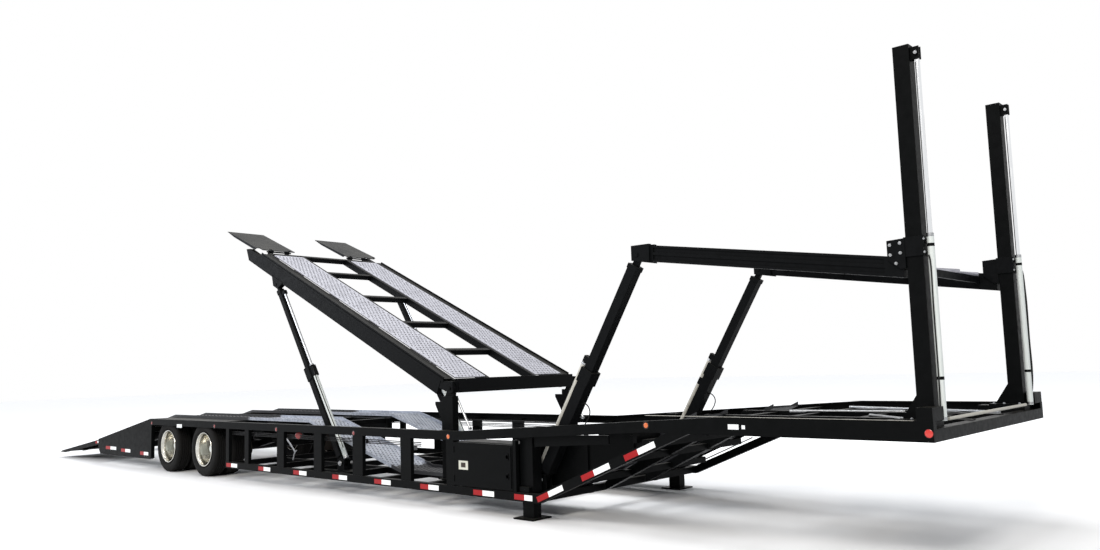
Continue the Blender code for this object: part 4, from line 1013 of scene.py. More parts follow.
def tyre_profile(slot):
    """Section of the tyre as (radius, share of half its width); slot lets the shoulders in."""
    outer = TYRE_RADIUS
    shoulder = [
        (RIM_RADIUS - 6 * MM, -0.62),
        (RIM_RADIUS + 8 * MM, -0.80),
        (RIM_RADIUS + 16 * MM, -0.90),
        (RIM_RADIUS + 20 * MM, -0.86),
        (RIM_RADIUS + 45 * MM, -0.985),
        (RIM_RADIUS + 68 * MM, -1.0),
        (RIM_RADIUS + 95 * MM, -0.975),
        (outer - 26 * MM, -0.945 + slot * 3),
        (outer - 14 * MM - slot, -0.90 + slot * 3),
        (outer - 3 * MM - slot, -0.78),
        (outer - slot * 0.4, -0.66),
    ]
    grooves = []
    for centre in GROOVE_CENTRES:
        grooves.append((outer, centre - GROOVE_HALF - GROOVE_EDGE))
        grooves.append((outer - GROOVE_DEPTH, centre - GROOVE_HALF))
        grooves.append((outer - GROOVE_DEPTH, centre + GROOVE_HALF))
        grooves.append((outer, centre + GROOVE_HALF + GROOVE_EDGE))
    other_shoulder = [(radius, -share) for radius, share in reversed(shoulder)]
    return shoulder + grooves + other_shoulder


def make_tyre(name, node, body):
    low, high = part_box(node)
    centre = (low + high) / 2
    profiles = (tyre_profile(0.0), tyre_profile(SLOT_DEPTH))
    shape = bmesh.new()
    rings = []
    for step in range(TREAD_STEPS):
        angle = 2 * math.pi * step / TREAD_STEPS
        profile = profiles[1 if step % SLOT_EVERY == 0 else 0]
        ring = []
        for radius, share in profile:
            place = Vector((radius * math.cos(angle), share * TYRE_HALF, radius * math.sin(angle)))
            ring.append(shape.verts.new(centre + place))
        rings.append(ring)
    for step in range(TREAD_STEPS):
        here, after = rings[step], rings[(step + 1) % TREAD_STEPS]
        for i in range(len(here)):
            j = (i + 1) % len(here)
            shape.faces.new((here[i], here[j], after[j], after[i]))
    bmesh.ops.recalc_face_normals(shape, faces=shape.faces)
    make_piece(shape, name, tyre_rubber, body, (node,))


for axle_name, _ in AXLES:
    for side_name, _ in SIDES:
        tag = axle_name + "_" + side_name
        for place in ("outer", "inner"):
            make_tyre("treaded_" + place + "_" + tag, "tyre_" + place + "_" + tag, "wheels_" + tag)
print("tyres made")

# %% [markdown]
# **Wheels.** The outer wheel of a twin pair is mounted with its dish outward, so
# one looks into a deep polished bowl with the hub at its bottom. Lathe work is
# again a turned profile. The hand holes are cut with a Boolean, which is exact
# on closed shapes.

# %% Forged wheels
WHEEL_STEPS = 72
DISC_HOLES = 10
HUB_PLANE = 1.0275
RIM_OFFSET = 0.1225
HAND_HOLE_CIRCLE = 0.168
HAND_HOLE_RADIUS = 0.016
CUTTER_REACH = 0.05
RIM_PROFILE = (  # radius, distance outward from the hub's plane
    (0.2350, RIM_OFFSET + 0.0985),
    (0.2335, RIM_OFFSET + 0.1010),
    (0.2270, RIM_OFFSET + 0.1010),
    (0.2215, RIM_OFFSET + 0.0960),
    (0.2190, RIM_OFFSET + 0.0860),
    (0.2110, RIM_OFFSET + 0.0740),
    (0.2070, RIM_OFFSET + 0.0600),
    (0.2050, RIM_OFFSET + 0.0200),
    (0.2010, 0.0600),
    (0.1960, 0.0260),
    (0.1880, 0.0180),
    (0.0800, 0.0140),
    (0.0800, -0.0140),
    (0.1880, -0.0180),
    (0.1960, -0.0260),
    (0.2070, -RIM_OFFSET - 0.0600),
    (0.2190, -RIM_OFFSET - 0.0860),
    (0.2270, -RIM_OFFSET - 0.1010),
    (0.2350, -RIM_OFFSET - 0.0985),
    (0.2300, -RIM_OFFSET - 0.0700),
    (0.2290, 0.0),
    (0.2300, RIM_OFFSET + 0.0700),
)


def round_axle(centre, side, angle, radius, outward=0.0):
    """A point on a circle round the axle, moved outward along it."""
    spoke = Vector((math.cos(angle), 0, math.sin(angle)))
    return centre + spoke * radius + Vector((0, side, 0)) * outward


def cut_hand_holes(rim, centre, side):
    holes = bmesh.new()
    profile = (
        (0.0, -CUTTER_REACH),
        (HAND_HOLE_RADIUS, -CUTTER_REACH),
        (HAND_HOLE_RADIUS, CUTTER_REACH),
        (0.0, CUTTER_REACH),
    )
    for i in range(DISC_HOLES):
        angle = 2 * math.pi * (i + 0.5) / DISC_HOLES
        spot = round_axle(centre, side, angle, HAND_HOLE_CIRCLE)
        add_turned(holes, profile, spot, (0, side, 0), 16)
    mesh = bpy.data.meshes.new("hand_holes")
    holes.to_mesh(mesh)
    holes.free()
    cutter = bpy.data.objects.new("hand_holes", mesh)
    bpy.context.scene.collection.objects.link(cutter)
    cut = rim.modifiers.new("hand_holes", "BOOLEAN")
    cut.operation = "DIFFERENCE"
    cut.solver = "EXACT"
    cut.object = cutter
    graph = bpy.context.evaluated_depsgraph_get()
    baked = bpy.data.meshes.new_from_object(rim.evaluated_get(graph))
    rim.modifiers.clear()
    rim.data = baked
    bpy.data.objects.remove(cutter)


WHEELS = []  # tag, centre of the hub, side
for axle_name, distance in AXLES:
    for side_name, side in SIDES:
        tag, centre = axle_name + "_" + side_name, at(distance, TYRE_RADIUS, side * HUB_PLANE)
        WHEELS.append((tag, centre, side))
        shape = bmesh.new()
        add_turned(shape, RIM_PROFILE, centre, (0, side, 0), WHEEL_STEPS)
        rim = make_piece(
            shape,
            "forged_wheel_" + tag,
            wheel_polish[axle_name],
            "wheels_" + tag,
            ("wheel_" + tag,),
        )
        cut_hand_holes(rim, centre, side)
print(len(WHEELS), "wheels turned, with", DISC_HOLES, "hand holes each")

# %% [markdown]
# **Hubs and nuts.** The oil cap of the hub stands in the middle of the bowl, with
# six small bolts on its flange. Ten wheel nuts stand in a circle on the disc
# round it. The tyre's valve stands out between them and the rim.

# %% Hub caps, nuts and valves
NUT_CIRCLE = 0.11275
CAP_BOLTS = 6
CAP_BOLT_CIRCLE = 0.056
VALVE_ANGLE = 0.9
VALVE_CIRCLE = 0.196
HUB_PROFILE = (  # radius, distance outward from the hub's plane
    (0.0, 0.118),
    (0.040, 0.118),
    (0.046, 0.114),
    (0.050, 0.100),
    (0.060, 0.096),
    (0.064, 0.088),
    (0.068, 0.050),
    (0.076, 0.044),
    (0.0785, 0.030),
    (0.0785, -0.020),
    (0.0, -0.020),
)

for tag, centre, side in WHEELS:
    body, out = "wheels_" + tag, Vector((0, side, 0))
    cap = bmesh.new()
    add_turned(cap, HUB_PROFILE, centre, out, 48)
    for i in range(CAP_BOLTS):
        angle = 2 * math.pi * i / CAP_BOLTS
        spot = round_axle(centre, side, angle, CAP_BOLT_CIRCLE, 0.096)
        add_hex(cap, spot, out, 11 * MM, 6 * MM, False)
    make_piece(cap, "hub_cap_" + tag, barrel_paint, body)

    nuts = bmesh.new()
    for i in range(DISC_HOLES):
        angle = 2 * math.pi * i / DISC_HOLES
        spot = round_axle(centre, side, angle, NUT_CIRCLE, 0.0145)
        add_hex(nuts, spot, out, 27 * MM, 20 * MM)
    make_piece(nuts, "wheel_nuts_" + tag, bolt_zinc, body)

    valve = round_axle(centre, side, VALVE_ANGLE, VALVE_CIRCLE, 0.030)
    stem = bmesh.new()
    add_rod(stem, valve, valve + out * 0.030, 3 * MM, 10)
    add_rod(stem, valve + out * 0.028, valve + out * 0.038, 4.2 * MM, 10)
    make_piece(stem, "tyre_valve_" + tag, bolt_zinc, body)
print("hubs have", CAP_BOLTS, "cap bolts and", DISC_HOLES, "nuts")

# %% [markdown]
# **Brake drums.** Behind the discs the drum is a plain iron casting with one
# groove round it. It is seen from behind and below.

# %% Brake drums
DRUM_PROFILE = (  # radius, distance outward from the hub's plane
    (0.100, -0.020),
    (0.150, -0.060),
    (0.182, -0.110),
    (0.186, -0.130),
    (0.186, -0.200),
    (0.180, -0.206),
    (0.186, -0.212),
    (0.190, -0.380),
    (0.186, -0.4137),
    (0.0, -0.4137),
    (0.0, -0.020),
)

for tag, centre, side in WHEELS:
    drum = bmesh.new()
    add_turned(drum, DRUM_PROFILE, centre, (0, side, 0), 48)
    make_piece(drum, "brake_drum_" + tag, drum_iron, "wheels_" + tag)
print("brake drums cast")

# %% [markdown]
# **Side frames.** The lamps and the strips stand proud of the rails, and they
# may not stand out of the trailer's stated width. So the painted side frame is
# a copy of the solid one with its outer faces drawn in by 4 mm. The lower rail,
# the slope and the tail panel each lie a little further in than the upper rail.

# %% Side frames
DRAWN_IN = 4 * MM
OUTER_FROM_Y = 1.2895
RAIL_FACE = SIDE_FACE - DRAWN_IN
LOWER_FACE = RAIL_FACE - 0.6 * MM
SLOPE_FACE = RAIL_FACE - 1.2 * MM
TAIL_FACE = RAIL_FACE - 1.8 * MM

for side_name, side in SIDES:
    node_name = "side_frame_" + side_name
    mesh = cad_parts[node_name].data.copy()
    moved = 0
    for vertex in mesh.vertices:
        if abs(vertex.co.y) > OUTER_FROM_Y:
            vertex.co.y -= side * DRAWN_IN
            moved += 1
    painted = bpy.data.objects.new("painted_" + node_name, mesh)
    bpy.context.scene.collection.objects.link(painted)
    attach(painted, "frame")
    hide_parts(node_name)
    print(node_name, "outer corners drawn in:", moved)

# %% [markdown]
# **Traction buttons.** The plates under the cars' wheels are pressed with
# buttons in staggered rows: a low ring about a punched hole, so that mud falls
# through and the wet rim grips. One button is a few rings of points. A field
# of them is one joined mesh, laid along each straight run of the plate.

# %% One button
BUTTON_RINGS = (  # radius, height over the plate
    (0.0155, -0.0004),
    (0.0130, 0.0032),
    (0.0108, 0.0032),
    (0.0098, 0.0005),
)
BUTTON_SIDES = 8
PLATE_FINISH, HOLE_SHADE_FINISH = 0, 1


def add_button(shape, centre, along, across, normal):
    rings = []
    for radius, height in BUTTON_RINGS:
        ring = []
        for i in range(BUTTON_SIDES):
            angle = 2 * math.pi * i / BUTTON_SIDES
            spoke = along * math.cos(angle) + across * math.sin(angle)
            ring.append(shape.verts.new(centre + spoke * radius + normal * height))
        rings.append(ring)
    # The wall of the hole and the floor that closes it get the dark finish: painted shade inside the
    # hole.
    for level, (first, second) in enumerate(zip(rings, rings[1:])):
        for i in range(BUTTON_SIDES):
            j = (i + 1) % BUTTON_SIDES
            face = shape.faces.new((first[i], first[j], second[j], second[i]))
            face.material_index = HOLE_SHADE_FINISH if level == 2 else PLATE_FINISH
    floor = shape.faces.new(rings[-1])
    floor.material_index = HOLE_SHADE_FINISH


print("a button has", len(BUTTON_RINGS) * BUTTON_SIDES, "points")

# %% [markdown]
# A plate folds at its corners, so a field follows a line of corners and starts
# again on each straight run. Every second row is shifted by half a step. The
# plates of the rear deck are laid in the deck's own slope, which is measured
# from its hinge.

# %% Fields of buttons
BUTTON_ALONG = 0.056
BUTTON_ACROSS = 0.050
BUTTON_MARGIN = 0.03
DECK_ANGLE = math.radians(24.84)
DECK_HINGE = (5.060, 1.190)  # distance, height
FRONT_RAIL_START = (0.200, 2.072)  # distance, height
FRONT_RAIL_RISE = 0.1526
TRACK_LINE = (
    (13.640, 0.404),
    (11.690, 0.778),
    (7.900, 0.778),
    (6.050, 0.262),
    (3.560, 0.262),
    (2.060, 0.950),
)


def button_field(name, body, line, y_low, y_high, side, finish):
    """Staggered buttons along a line of (distance, height) corners."""
    shape = bmesh.new()
    across = Vector((0, 1, 0))
    columns = int((y_high - y_low - 2 * BUTTON_MARGIN) / BUTTON_ACROSS)
    spare = (y_high - y_low - columns * BUTTON_ACROSS) / 2
    row = 0
    for (d0, z0), (d1, z1) in zip(line, line[1:]):
        start, end = at(d0, z0), at(d1, z1)
        along = (end - start).normalized()
        normal = across.cross(along)
        if normal.z < 0:
            normal = -normal
        length = (end - start).length
        count = int((length - 2 * BUTTON_MARGIN) / BUTTON_ALONG)
        for i in range(count + 1):
            row += 1
            shift = BUTTON_ACROSS / 2 if row % 2 else 0.0
            for k in range(columns + (0 if row % 2 else 1)):
                y = side * (y_low + spare + shift + k * BUTTON_ACROSS)
                spot = start + along * (BUTTON_MARGIN + i * BUTTON_ALONG) + across * y
                add_button(shape, spot, along, across, normal)
    bmesh.ops.recalc_face_normals(shape, faces=shape.faces)
    return make_piece(shape, name, (finish, hole_shade), body)


def on_deck(u, w):
    """Distance and height of a point u along the rear deck and w above its hinge line."""
    cos, sin = math.cos(DECK_ANGLE), math.sin(DECK_ANGLE)
    return (DECK_HINGE[0] + u * cos - w * sin, DECK_HINGE[1] + u * sin + w * cos)


def on_front_tread(distance):
    """Distance and height of a point on the front deck's tread, which lies inside its rails."""
    rail = FRONT_RAIL_START[1] + (distance - FRONT_RAIL_START[0]) * FRONT_RAIL_RISE
    return (distance, rail - 0.018)


REAR_RUN = (on_deck(0.117, 0.073), on_deck(4.194, 0.073))
FRONT_RUN = (on_front_tread(0.300), on_front_tread(2.380))
FIELDS = (  # name, body, corners, inner y, outer y, finish
    ("track_buttons_", "frame", TRACK_LINE, 0.410, 0.885, track_zinc),
    ("rear_deck_buttons_", "rear_deck", REAR_RUN, 0.400, 0.850, tread_zinc),
    ("front_deck_buttons_", "front_deck", FRONT_RUN, 0.388, 0.852, tread_zinc),
)
for side_name, side in SIDES:
    for name, body, line, y_low, y_high, finish in FIELDS:
        field = button_field(name + side_name, body, line, y_low, y_high, side, finish)
        print(field.name, len(field.data.polygons), "faces")

# %% [markdown]
# **Telescopic arms.** Each arm is a square tube in a square tube, pushed by a
# cylinder that lies along it. The cylinders get their barrels, glands, clamp
# bands and rods here as sleeves over the solids. Distances run along the arm
# from the pin at its foot, and a positive offset leads away from the neck.

# %% Arm cylinders
FRONT_ARM = ((3.680, 0.345), (2.465, 2.325), 1.040)  # foot, top, y
REAR_ARM = ((7.030, 0.315), (8.530, 2.580), 0.970)
BARREL_BORE = 0.0185
ROD_BORE = 0.0120
ROD_RADIUS = 0.0164


def on_arm(arm, side, distance, offset, sideways=0.0):
    """A point along an arm, moved off its centre line by an offset and sideways."""
    (d0, z0), (d1, z1), y = arm
    length = math.hypot(d1 - d0, z1 - z0)
    ud, uz = (d1 - d0) / length, (z1 - z0) / length
    return at(
        d0 + ud * distance + uz * offset,
        z0 + uz * distance - ud * offset,
        side * (y + sideways),
    )


def dress_arm(label, arm, side_name, side, offset, sideways, barrel, radius, rod, bands, paint):
    lower, upper = label + "_arm_" + side_name, label + "_arm_tube_" + side_name
    shape = bmesh.new()
    start, end = (on_arm(arm, side, distance, offset, sideways) for distance in barrel)
    add_sleeve(shape, start, end, BARREL_BORE, radius)
    make_piece(shape, label + "_arm_barrel_" + side_name, paint, lower)
    shape = bmesh.new()
    for low, high, band_radius in bands:
        start, end = (on_arm(arm, side, distance, offset, sideways) for distance in (low, high))
        add_sleeve(shape, start, end, BARREL_BORE, band_radius)
    make_piece(shape, label + "_arm_glands_" + side_name, bolt_zinc, lower)
    shape = bmesh.new()
    start, end = (on_arm(arm, side, distance, offset) for distance in rod)
    add_sleeve(shape, start, end, ROD_BORE, ROD_RADIUS, 24)
    make_piece(shape, label + "_arm_rod_" + side_name, hard_chrome, upper)


for side_name, side in SIDES:
    dress_arm(
        "front",
        FRONT_ARM,
        side_name,
        side,
        offset=0.088,
        sideways=0.003,
        barrel=(0.030, 1.190),
        radius=0.0315,
        rod=(0.232, 1.206),
        bands=((0.082, 0.110, 0.0335), (1.186, 1.206, 0.0345)),
        paint=dusty_barrel,
    )
    dress_arm(
        "rear",
        REAR_ARM,
        side_name,
        side,
        offset=-0.076,
        sideways=0.0,
        barrel=(0.018, 1.198),
        radius=0.0275,
        rod=(1.012, 2.520),
        bands=((0.014, 0.040, 0.031), (1.352, 1.372, 0.029)),
        paint=barrel_paint,
    )
print("arm cylinders dressed")

# %% [markdown]
# Each arm turns on a pin at its foot, with a washer and a nut on the outside. A
# thin hose feeds the cylinder: a short loop on the front arms, a long run beside
# the barrel on the rear ones.

# %% Foot pins and arm hoses
PIN_REACH = 0.050
WASHER = Vector((0, 0.010, 0))
HOSE_RADIUS = 0.0055
FRONT_HOSE = ((3.185, 1.052), (3.140, 1.046), (3.097, 0.993), (3.107, 0.933), (3.160, 0.860))
REAR_HOSE = (  # distance along the arm, offset, sideways
    (1.330, -0.104, 0.020),
    (1.180, -0.110, 0.030),
    (0.700, -0.104, 0.024),
    (0.150, -0.104, 0.010),
)

for side_name, side in SIDES:
    pins = bmesh.new()
    for arm in (FRONT_ARM, REAR_ARM):
        spot = on_arm(arm, side, 0.0, 0.0, PIN_REACH)
        add_rod(pins, spot, spot + WASHER * side, 0.030, 24)
        add_hex(pins, spot + WASHER * side, (0, side, 0), 0.036, 0.012)
    make_piece(pins, "arm_foot_pins_" + side_name, bolt_zinc, "frame")
    for label, hose in (
        ("front_arm_", [at(d, z, side * FRONT_ARM[2]) for d, z in FRONT_HOSE]),
        ("rear_arm_", [on_arm(REAR_ARM, side, *place) for place in REAR_HOSE]),
    ):
        name, body = label + "hose_" + side_name, label + side_name
        tube_piece(name, hose, HOSE_RADIUS, hose_rubber, body)
print("pins and hoses on both arms of each side")

# %% [markdown]
# **Masts and carriages.** The rod of each lift cylinder hangs from the top of
# its mast and the barrel climbs with the carriage. Here the barrel gets its
# gland, its foot ring, two bands and an elbow with a fitting, and bolts hold
# the carriage's plates.

# %% Carriage bolts and barrel fittings
CYLINDER_D = 0.0240
CYLINDER_Y = 1.029
MAST_BARREL_BORE = 0.0183
RING_RADIUS = 0.0238
RING_HEIGHTS = ((2.196, 2.222), (0.962, 0.985))
BAND_HEIGHTS = (1.2300, 2.1300)
SIDE_BOLTS = ((0.207, 2.168), (0.277, 2.160), (0.207, 2.100), (0.277, 2.092), (0.240, 2.030))


def barrel_elbow(side):
    """Where the fitting at the barrel's foot turns upward."""
    return at(CYLINDER_D + 0.002, 0.978, side * CYLINDER_Y) + Vector((0, side * 0.040, 0))


for side_name, side in SIDES:
    axis_y, outward = side * CYLINDER_Y, Vector((0, side, 0))
    steel = bmesh.new()
    for low, high in RING_HEIGHTS:
        start, end = at(CYLINDER_D, low, axis_y), at(CYLINDER_D, high, axis_y)
        add_sleeve(steel, start, end, MAST_BARREL_BORE, RING_RADIUS)
    bend = barrel_elbow(side)
    add_rod(steel, bend - outward * 0.018, bend + outward * 0.006, 0.0085, 16)
    add_hex(steel, bend - outward * 0.014, outward, 0.021, 0.010, False)
    add_rod(steel, bend, bend + Vector((0, 0, 0.034)), 0.0080, 16)
    for d, z in SIDE_BOLTS:
        add_hex(steel, at(d, z, side * 1.096), outward, 0.022, 0.009)
    for z in (2.092, 2.182):
        for y in (0.975, 1.083):
            add_hex(steel, at(0.0532, z, side * y), (1, 0, 0), 0.017, 0.007)
    make_piece(steel, "carriage_bolts_" + side_name, bolt_zinc, "front_deck")

    bands = bmesh.new()
    for z in BAND_HEIGHTS:
        start, end = at(CYLINDER_D, z, axis_y), at(CYLINDER_D, z + 0.022, axis_y)
        add_sleeve(bands, start, end, 0.0234, 0.0239)
    make_piece(bands, "barrel_bands_" + side_name, deck_enamel, "front_deck")
print("barrels have", len(RING_HEIGHTS), "rings and", len(BAND_HEIGHTS), "bands each")

# %% [markdown]
# A thin hose climbs from the elbow beside each barrel. On the left a thick
# supply hose hangs in a long bow outside the mast, from the carriage down to
# the foot of the barrel. Both ride on the front deck, so they rise with it.

# %% Mast hoses
SUPPLY_HOSE = (  # distance, height, y
    (0.060, 2.110, 1.100),
    (0.060, 2.100, 1.200),
    (0.060, 1.960, 1.248),
    (0.060, 1.500, 1.254),
    (0.060, 1.180, 1.254),
    (0.060, 1.075, 1.212),
    (0.050, 1.010, 1.110),
    (0.040, 0.985, 1.060),
)

for side_name, side in SIDES:
    line_y = side * (CYLINDER_Y + 0.0300)
    hose = [
        barrel_elbow(side) + Vector((0, 0, 0.030)),
        at(0.026, 1.060, side * (CYLINDER_Y + 0.0380)),
        at(0.026, 1.180, line_y),
        at(0.026, 1.700, line_y),
        at(0.026, 2.040, line_y),
        at(0.032, 2.070, side * (CYLINDER_Y + 0.0320)),
    ]
    tube_piece("mast_hose_" + side_name, hose, 0.0050, hose_rubber, "front_deck")
supply = [at(*point) for point in SUPPLY_HOSE]
tube_piece("supply_hose", supply, 0.0170, hose_rubber, "front_deck")
print("mast hoses hung")

# %% [markdown]
# The mast itself stays with the frame: the pin that holds the rod at its top,
# the bolts of its foot plate and a rubber cap.

# %% Mast pins, bolts and caps
MAST_PIN_HEIGHT = 3.482
FOOT_BOLT_HEIGHT = 0.968
FOOT_BOLTS = ((0.090, 0.965), (0.290, 0.968), (0.290, 1.092), (0.210, 1.090), (0.210, 0.968))

for side_name, side in SIDES:
    top = bmesh.new()
    pin_ends = [at(CYLINDER_D, MAST_PIN_HEIGHT, side * y) for y in (0.998, 0.990)]
    add_hex(top, at(CYLINDER_D, MAST_PIN_HEIGHT, side * 1.060), (0, side, 0), 0.024, 0.010)
    add_rod(top, pin_ends[0], pin_ends[1], 0.013, 16)
    for d, y in FOOT_BOLTS:
        add_hex(top, at(d, FOOT_BOLT_HEIGHT, side * y), (0, 0, 1), 0.019, 0.009)
    make_piece(top, "mast_bolts_" + side_name, bolt_zinc, "frame")

    cap = bmesh.new()
    add_block(cap, 0.066, 0.170, side * 0.983, side * 1.075, 3.5405, 3.5485)
    make_piece(cap, "mast_cap_" + side_name, hose_rubber, "frame")
print("masts dressed")

# %% [markdown]
# **Lamps.** Side marker lamps are round: a black rubber grommet with a domed
# lens in it, red along the trailer and amber towards the front. One more red
# lamp sits at the front corner of the neck, and a larger red disc stands on a
# bracket ahead of the wheels. A lens is a short dome, turned in steps.

# %% Lamps
DOME_STEPS = 5
DOME_SEGMENTS = 28
LENS_RADIUS = 0.0222
CORNER_RADIUS = 0.0275
DISC_RADIUS = 0.0440
LENS_RISE = 3.6 * MM
MARKERS = (  # distance, height, lens
    (11.620, 0.706, "red"),
    (9.630, 0.706, "red"),
    (8.020, 0.706, "red"),
    (6.370, 0.708, "red"),
    (4.750, 0.722, "amber"),
    (2.290, 0.892, "amber"),
)


def add_dome(shape, place, axis, radius, height):
    profile = [(0.0, -2 * MM), (radius, -2 * MM), (radius, 0.0)]
    for i in range(1, DOME_STEPS):
        angle = math.pi / 2 * i / DOME_STEPS
        profile.append((radius * math.cos(angle), height * math.sin(angle)))
    profile.append((0.0, height))
    add_turned(shape, profile, place, axis, DOME_SEGMENTS)


for side_name, side in SIDES:
    outward = Vector((0, side, 0))
    grommets, reds, ambers, corner = bmesh.new(), bmesh.new(), bmesh.new(), bmesh.new()
    for d, z, lens in MARKERS:
        seat = at(d, z, side * RAIL_FACE)
        add_sleeve(grommets, seat - outward * MM, seat + outward * 1.6 * MM, 0.0220, 0.0320)
        add_dome(reds if lens == "red" else ambers, seat, outward, LENS_RADIUS, LENS_RISE)
    seat = at(0.0315, 0.893, side * RAIL_FACE)
    add_sleeve(grommets, seat - outward * MM, seat + outward * 1.2 * MM, 0.0272, 0.0300)
    add_dome(corner, seat, outward, CORNER_RADIUS, LENS_RISE)
    tilted = Vector((0.64, side * 0.77, 0.0))
    disc = at(7.590, 0.640, side * 1.2360)
    add_rod(grommets, disc - tilted * 0.060, disc - tilted * 0.002, 0.0400, 24)
    add_block(grommets, 7.565, 7.625, side * 1.2000, side * 1.2260, 0.610, 0.700)
    add_dome(reds, disc, tilted, DISC_RADIUS, 12 * MM)
    for shape, name, finish in (
        (corner, "corner_lamp_", corner_lens),
        (grommets, "lamp_grommets_", hose_rubber),
        (reds, "red_lamps_", red_lens),
        (ambers, "amber_lamps_", amber_lens),
    ):
        make_piece(shape, name + side_name, finish, "frame")
print("lamps fitted:", len(MARKERS) + 2, "a side")

# %% [markdown]
# **Reflective strips.** By rule a trailer carries strips of red and white film
# along its sides. Each is a red length followed by a white one, and three white
# ones stand alone. They are laid on the faces with the thickness of the film,
# doubled so that it shows.

# %% Reflective strips
STRIP_HALF = 0.025
FILM = 0.7 * MM
SUNK = 0.2 * MM
RED_LENGTH = 0.130
WHITE_LENGTH = 0.160
LOWER_HEIGHT = 0.205
LOWER_END = 3.60
LOWER_STARTS = (9.285, 8.449, 7.621, 6.790, 5.986, 5.198, 4.392, 3.832)
SLOPE_RED = 0.140
SLOPE_BOTH = 0.315
SLOPE_STARTS = (3.540, 3.003, 2.525)
TAIL_RED_SHARE = 0.45
TAIL_STRIPS = (  # rear end of the red, front end of the white, height
    (13.360, 12.940, 0.270),
    (12.740, 12.390, 0.253),
    (12.020, 11.730, 0.238),
)
LONE_WHITES = (  # rear end, front end, height, half width
    (1.520, 1.428, 0.900, 0.019),
    (1.402, 1.374, 0.900, 0.014),
    (10.770, 10.610, 0.684, STRIP_HALF),
)


def add_film(shape, d_rear, z_rear, d_front, z_front, y_face, side, half=STRIP_HALF):
    """A strip of film from its rear end to its front end, standing off by its thickness."""
    run = math.hypot(d_front - d_rear, z_front - z_rear)
    nd, nz = (z_front - z_rear) / run * half, -(d_front - d_rear) / run * half
    outline = (
        (d_rear + nd, z_rear + nz),
        (d_front + nd, z_front + nz),
        (d_front - nd, z_front - nz),
        (d_rear - nd, z_rear - nz),
    )
    add_prism(shape, outline, side * (y_face - SUNK), side * (y_face + FILM))


def slope_height(distance):
    """Height of the middle of the sloping rail."""
    return 0.215 + (3.5 - distance) * 0.4105


for side_name, side in SIDES:
    red, white = bmesh.new(), bmesh.new()
    for start in LOWER_STARTS:
        seam = start - RED_LENGTH
        stop = max(seam - WHITE_LENGTH, LOWER_END)
        add_film(red, start, LOWER_HEIGHT, seam, LOWER_HEIGHT, LOWER_FACE, side)
        add_film(white, seam, LOWER_HEIGHT, stop, LOWER_HEIGHT, LOWER_FACE, side)
    for start in SLOPE_STARTS:
        seam, stop = start - SLOPE_RED, start - SLOPE_BOTH
        ends = [slope_height(d) for d in (start, seam, stop)]
        add_film(red, start, ends[0], seam, ends[1], SLOPE_FACE, side)
        add_film(white, seam, ends[1], stop, ends[2], SLOPE_FACE, side)
    for start, stop, height in TAIL_STRIPS:
        seam = start - (start - stop) * TAIL_RED_SHARE
        add_film(red, start, height, seam, height, TAIL_FACE, side)
        add_film(white, seam, height, stop, height, TAIL_FACE, side)
    for start, stop, height, half in LONE_WHITES:
        add_film(white, start, height, stop, height, RAIL_FACE, side, half)
    make_piece(red, "red_strips_" + side_name, tape_red, "frame")
    make_piece(white, "white_strips_" + side_name, tape_white, "frame")
print("strips laid along both sides")

# %% [markdown]
# The tail ramps carry a short pair of strips of their own. They are pieces of
# the ramp, so that they swing with it.

# %% Strips on the tail ramps
RAMP_FACE = 1.2202
RAMP_STRIP_HALF = 0.020
RAMP_STRIPS = (  # name, rear end and front end as distance and height, finish
    ("ramp_strip_", (13.990, 0.322), (13.905, 0.332), tape_red),
    ("ramp_white_strip_", (13.905, 0.332), (13.800, 0.344), tape_white),
)

for side_name, side in SIDES:
    for name, rear, front, finish in RAMP_STRIPS:
        strip = bmesh.new()
        add_film(strip, *rear, *front, RAMP_FACE, side, RAMP_STRIP_HALF)
        make_piece(strip, name + side_name, finish, "tail_ramp_" + side_name)
print("ramp strips laid")

# %% [markdown]
# **Toolbox doors.** Each door has a blank plate with a dark middle, two round
# latches at its edge and a bead of steel along its top. They are pieces of the
# door and swing with it.

# %% Door fittings
LATCH_DISTANCE = 3.915
LATCH_HEIGHTS = (0.380, 0.560)
DOOR_FACE = 1.287
LATCH_FACE = 1.2946

for side_name, side in SIDES:
    body = "toolbox_door_" + side_name
    plate = bmesh.new()
    add_block(plate, 4.465, 4.600, side * 1.2868, side * 1.2882, 0.410, 0.496)
    make_piece(plate, "blank_plate_" + side_name, plate_paint, body)
    middle = bmesh.new()
    add_block(middle, 4.500, 4.566, side * 1.2880, side * 1.2888, 0.432, 0.478)
    make_piece(middle, "plate_centre_" + side_name, drum_iron, body)
    latch = bmesh.new()
    for z in LATCH_HEIGHTS:
        start, end = (at(LATCH_DISTANCE, z, side * y) for y in (DOOR_FACE, LATCH_FACE))
        add_rod(latch, start, end, 0.020, 24)
        add_block(latch, 3.900, 3.930, side * DOOR_FACE, side * LATCH_FACE, z - 0.028, z + 0.028)
    add_block(latch, 3.900, 4.660, side * 1.2868, side * 1.2900, 0.660, 0.668)
    make_piece(latch, "door_latches_" + side_name, deck_enamel, body)
print("doors fitted with", len(LATCH_HEIGHTS), "latches each")

# %% [markdown]
# **Struts and brake pipes.** A thin strut leans against the post of the deck's
# hinge. Five pipes run along the inside of the rails, three of them in clips.

# %% Struts, pipes and clips
STRUT_Y = 0.905
RAIL_PIPES = (  # height, y, front end, rear end, radius
    (0.640, 1.2290, 5.25, 9.35, 0.0055),
    (0.622, 1.2290, 5.25, 9.35, 0.0055),
    (0.604, 1.2290, 5.25, 9.35, 0.0055),
    (0.690, 1.1500, 5.25, 9.30, 0.0070),
    (0.675, 1.1500, 5.25, 9.30, 0.0070),
)
CLIP_PLACES = (5.40, 6.20, 7.00, 7.80, 8.60, 9.20)
CLIP_HALF = 0.012

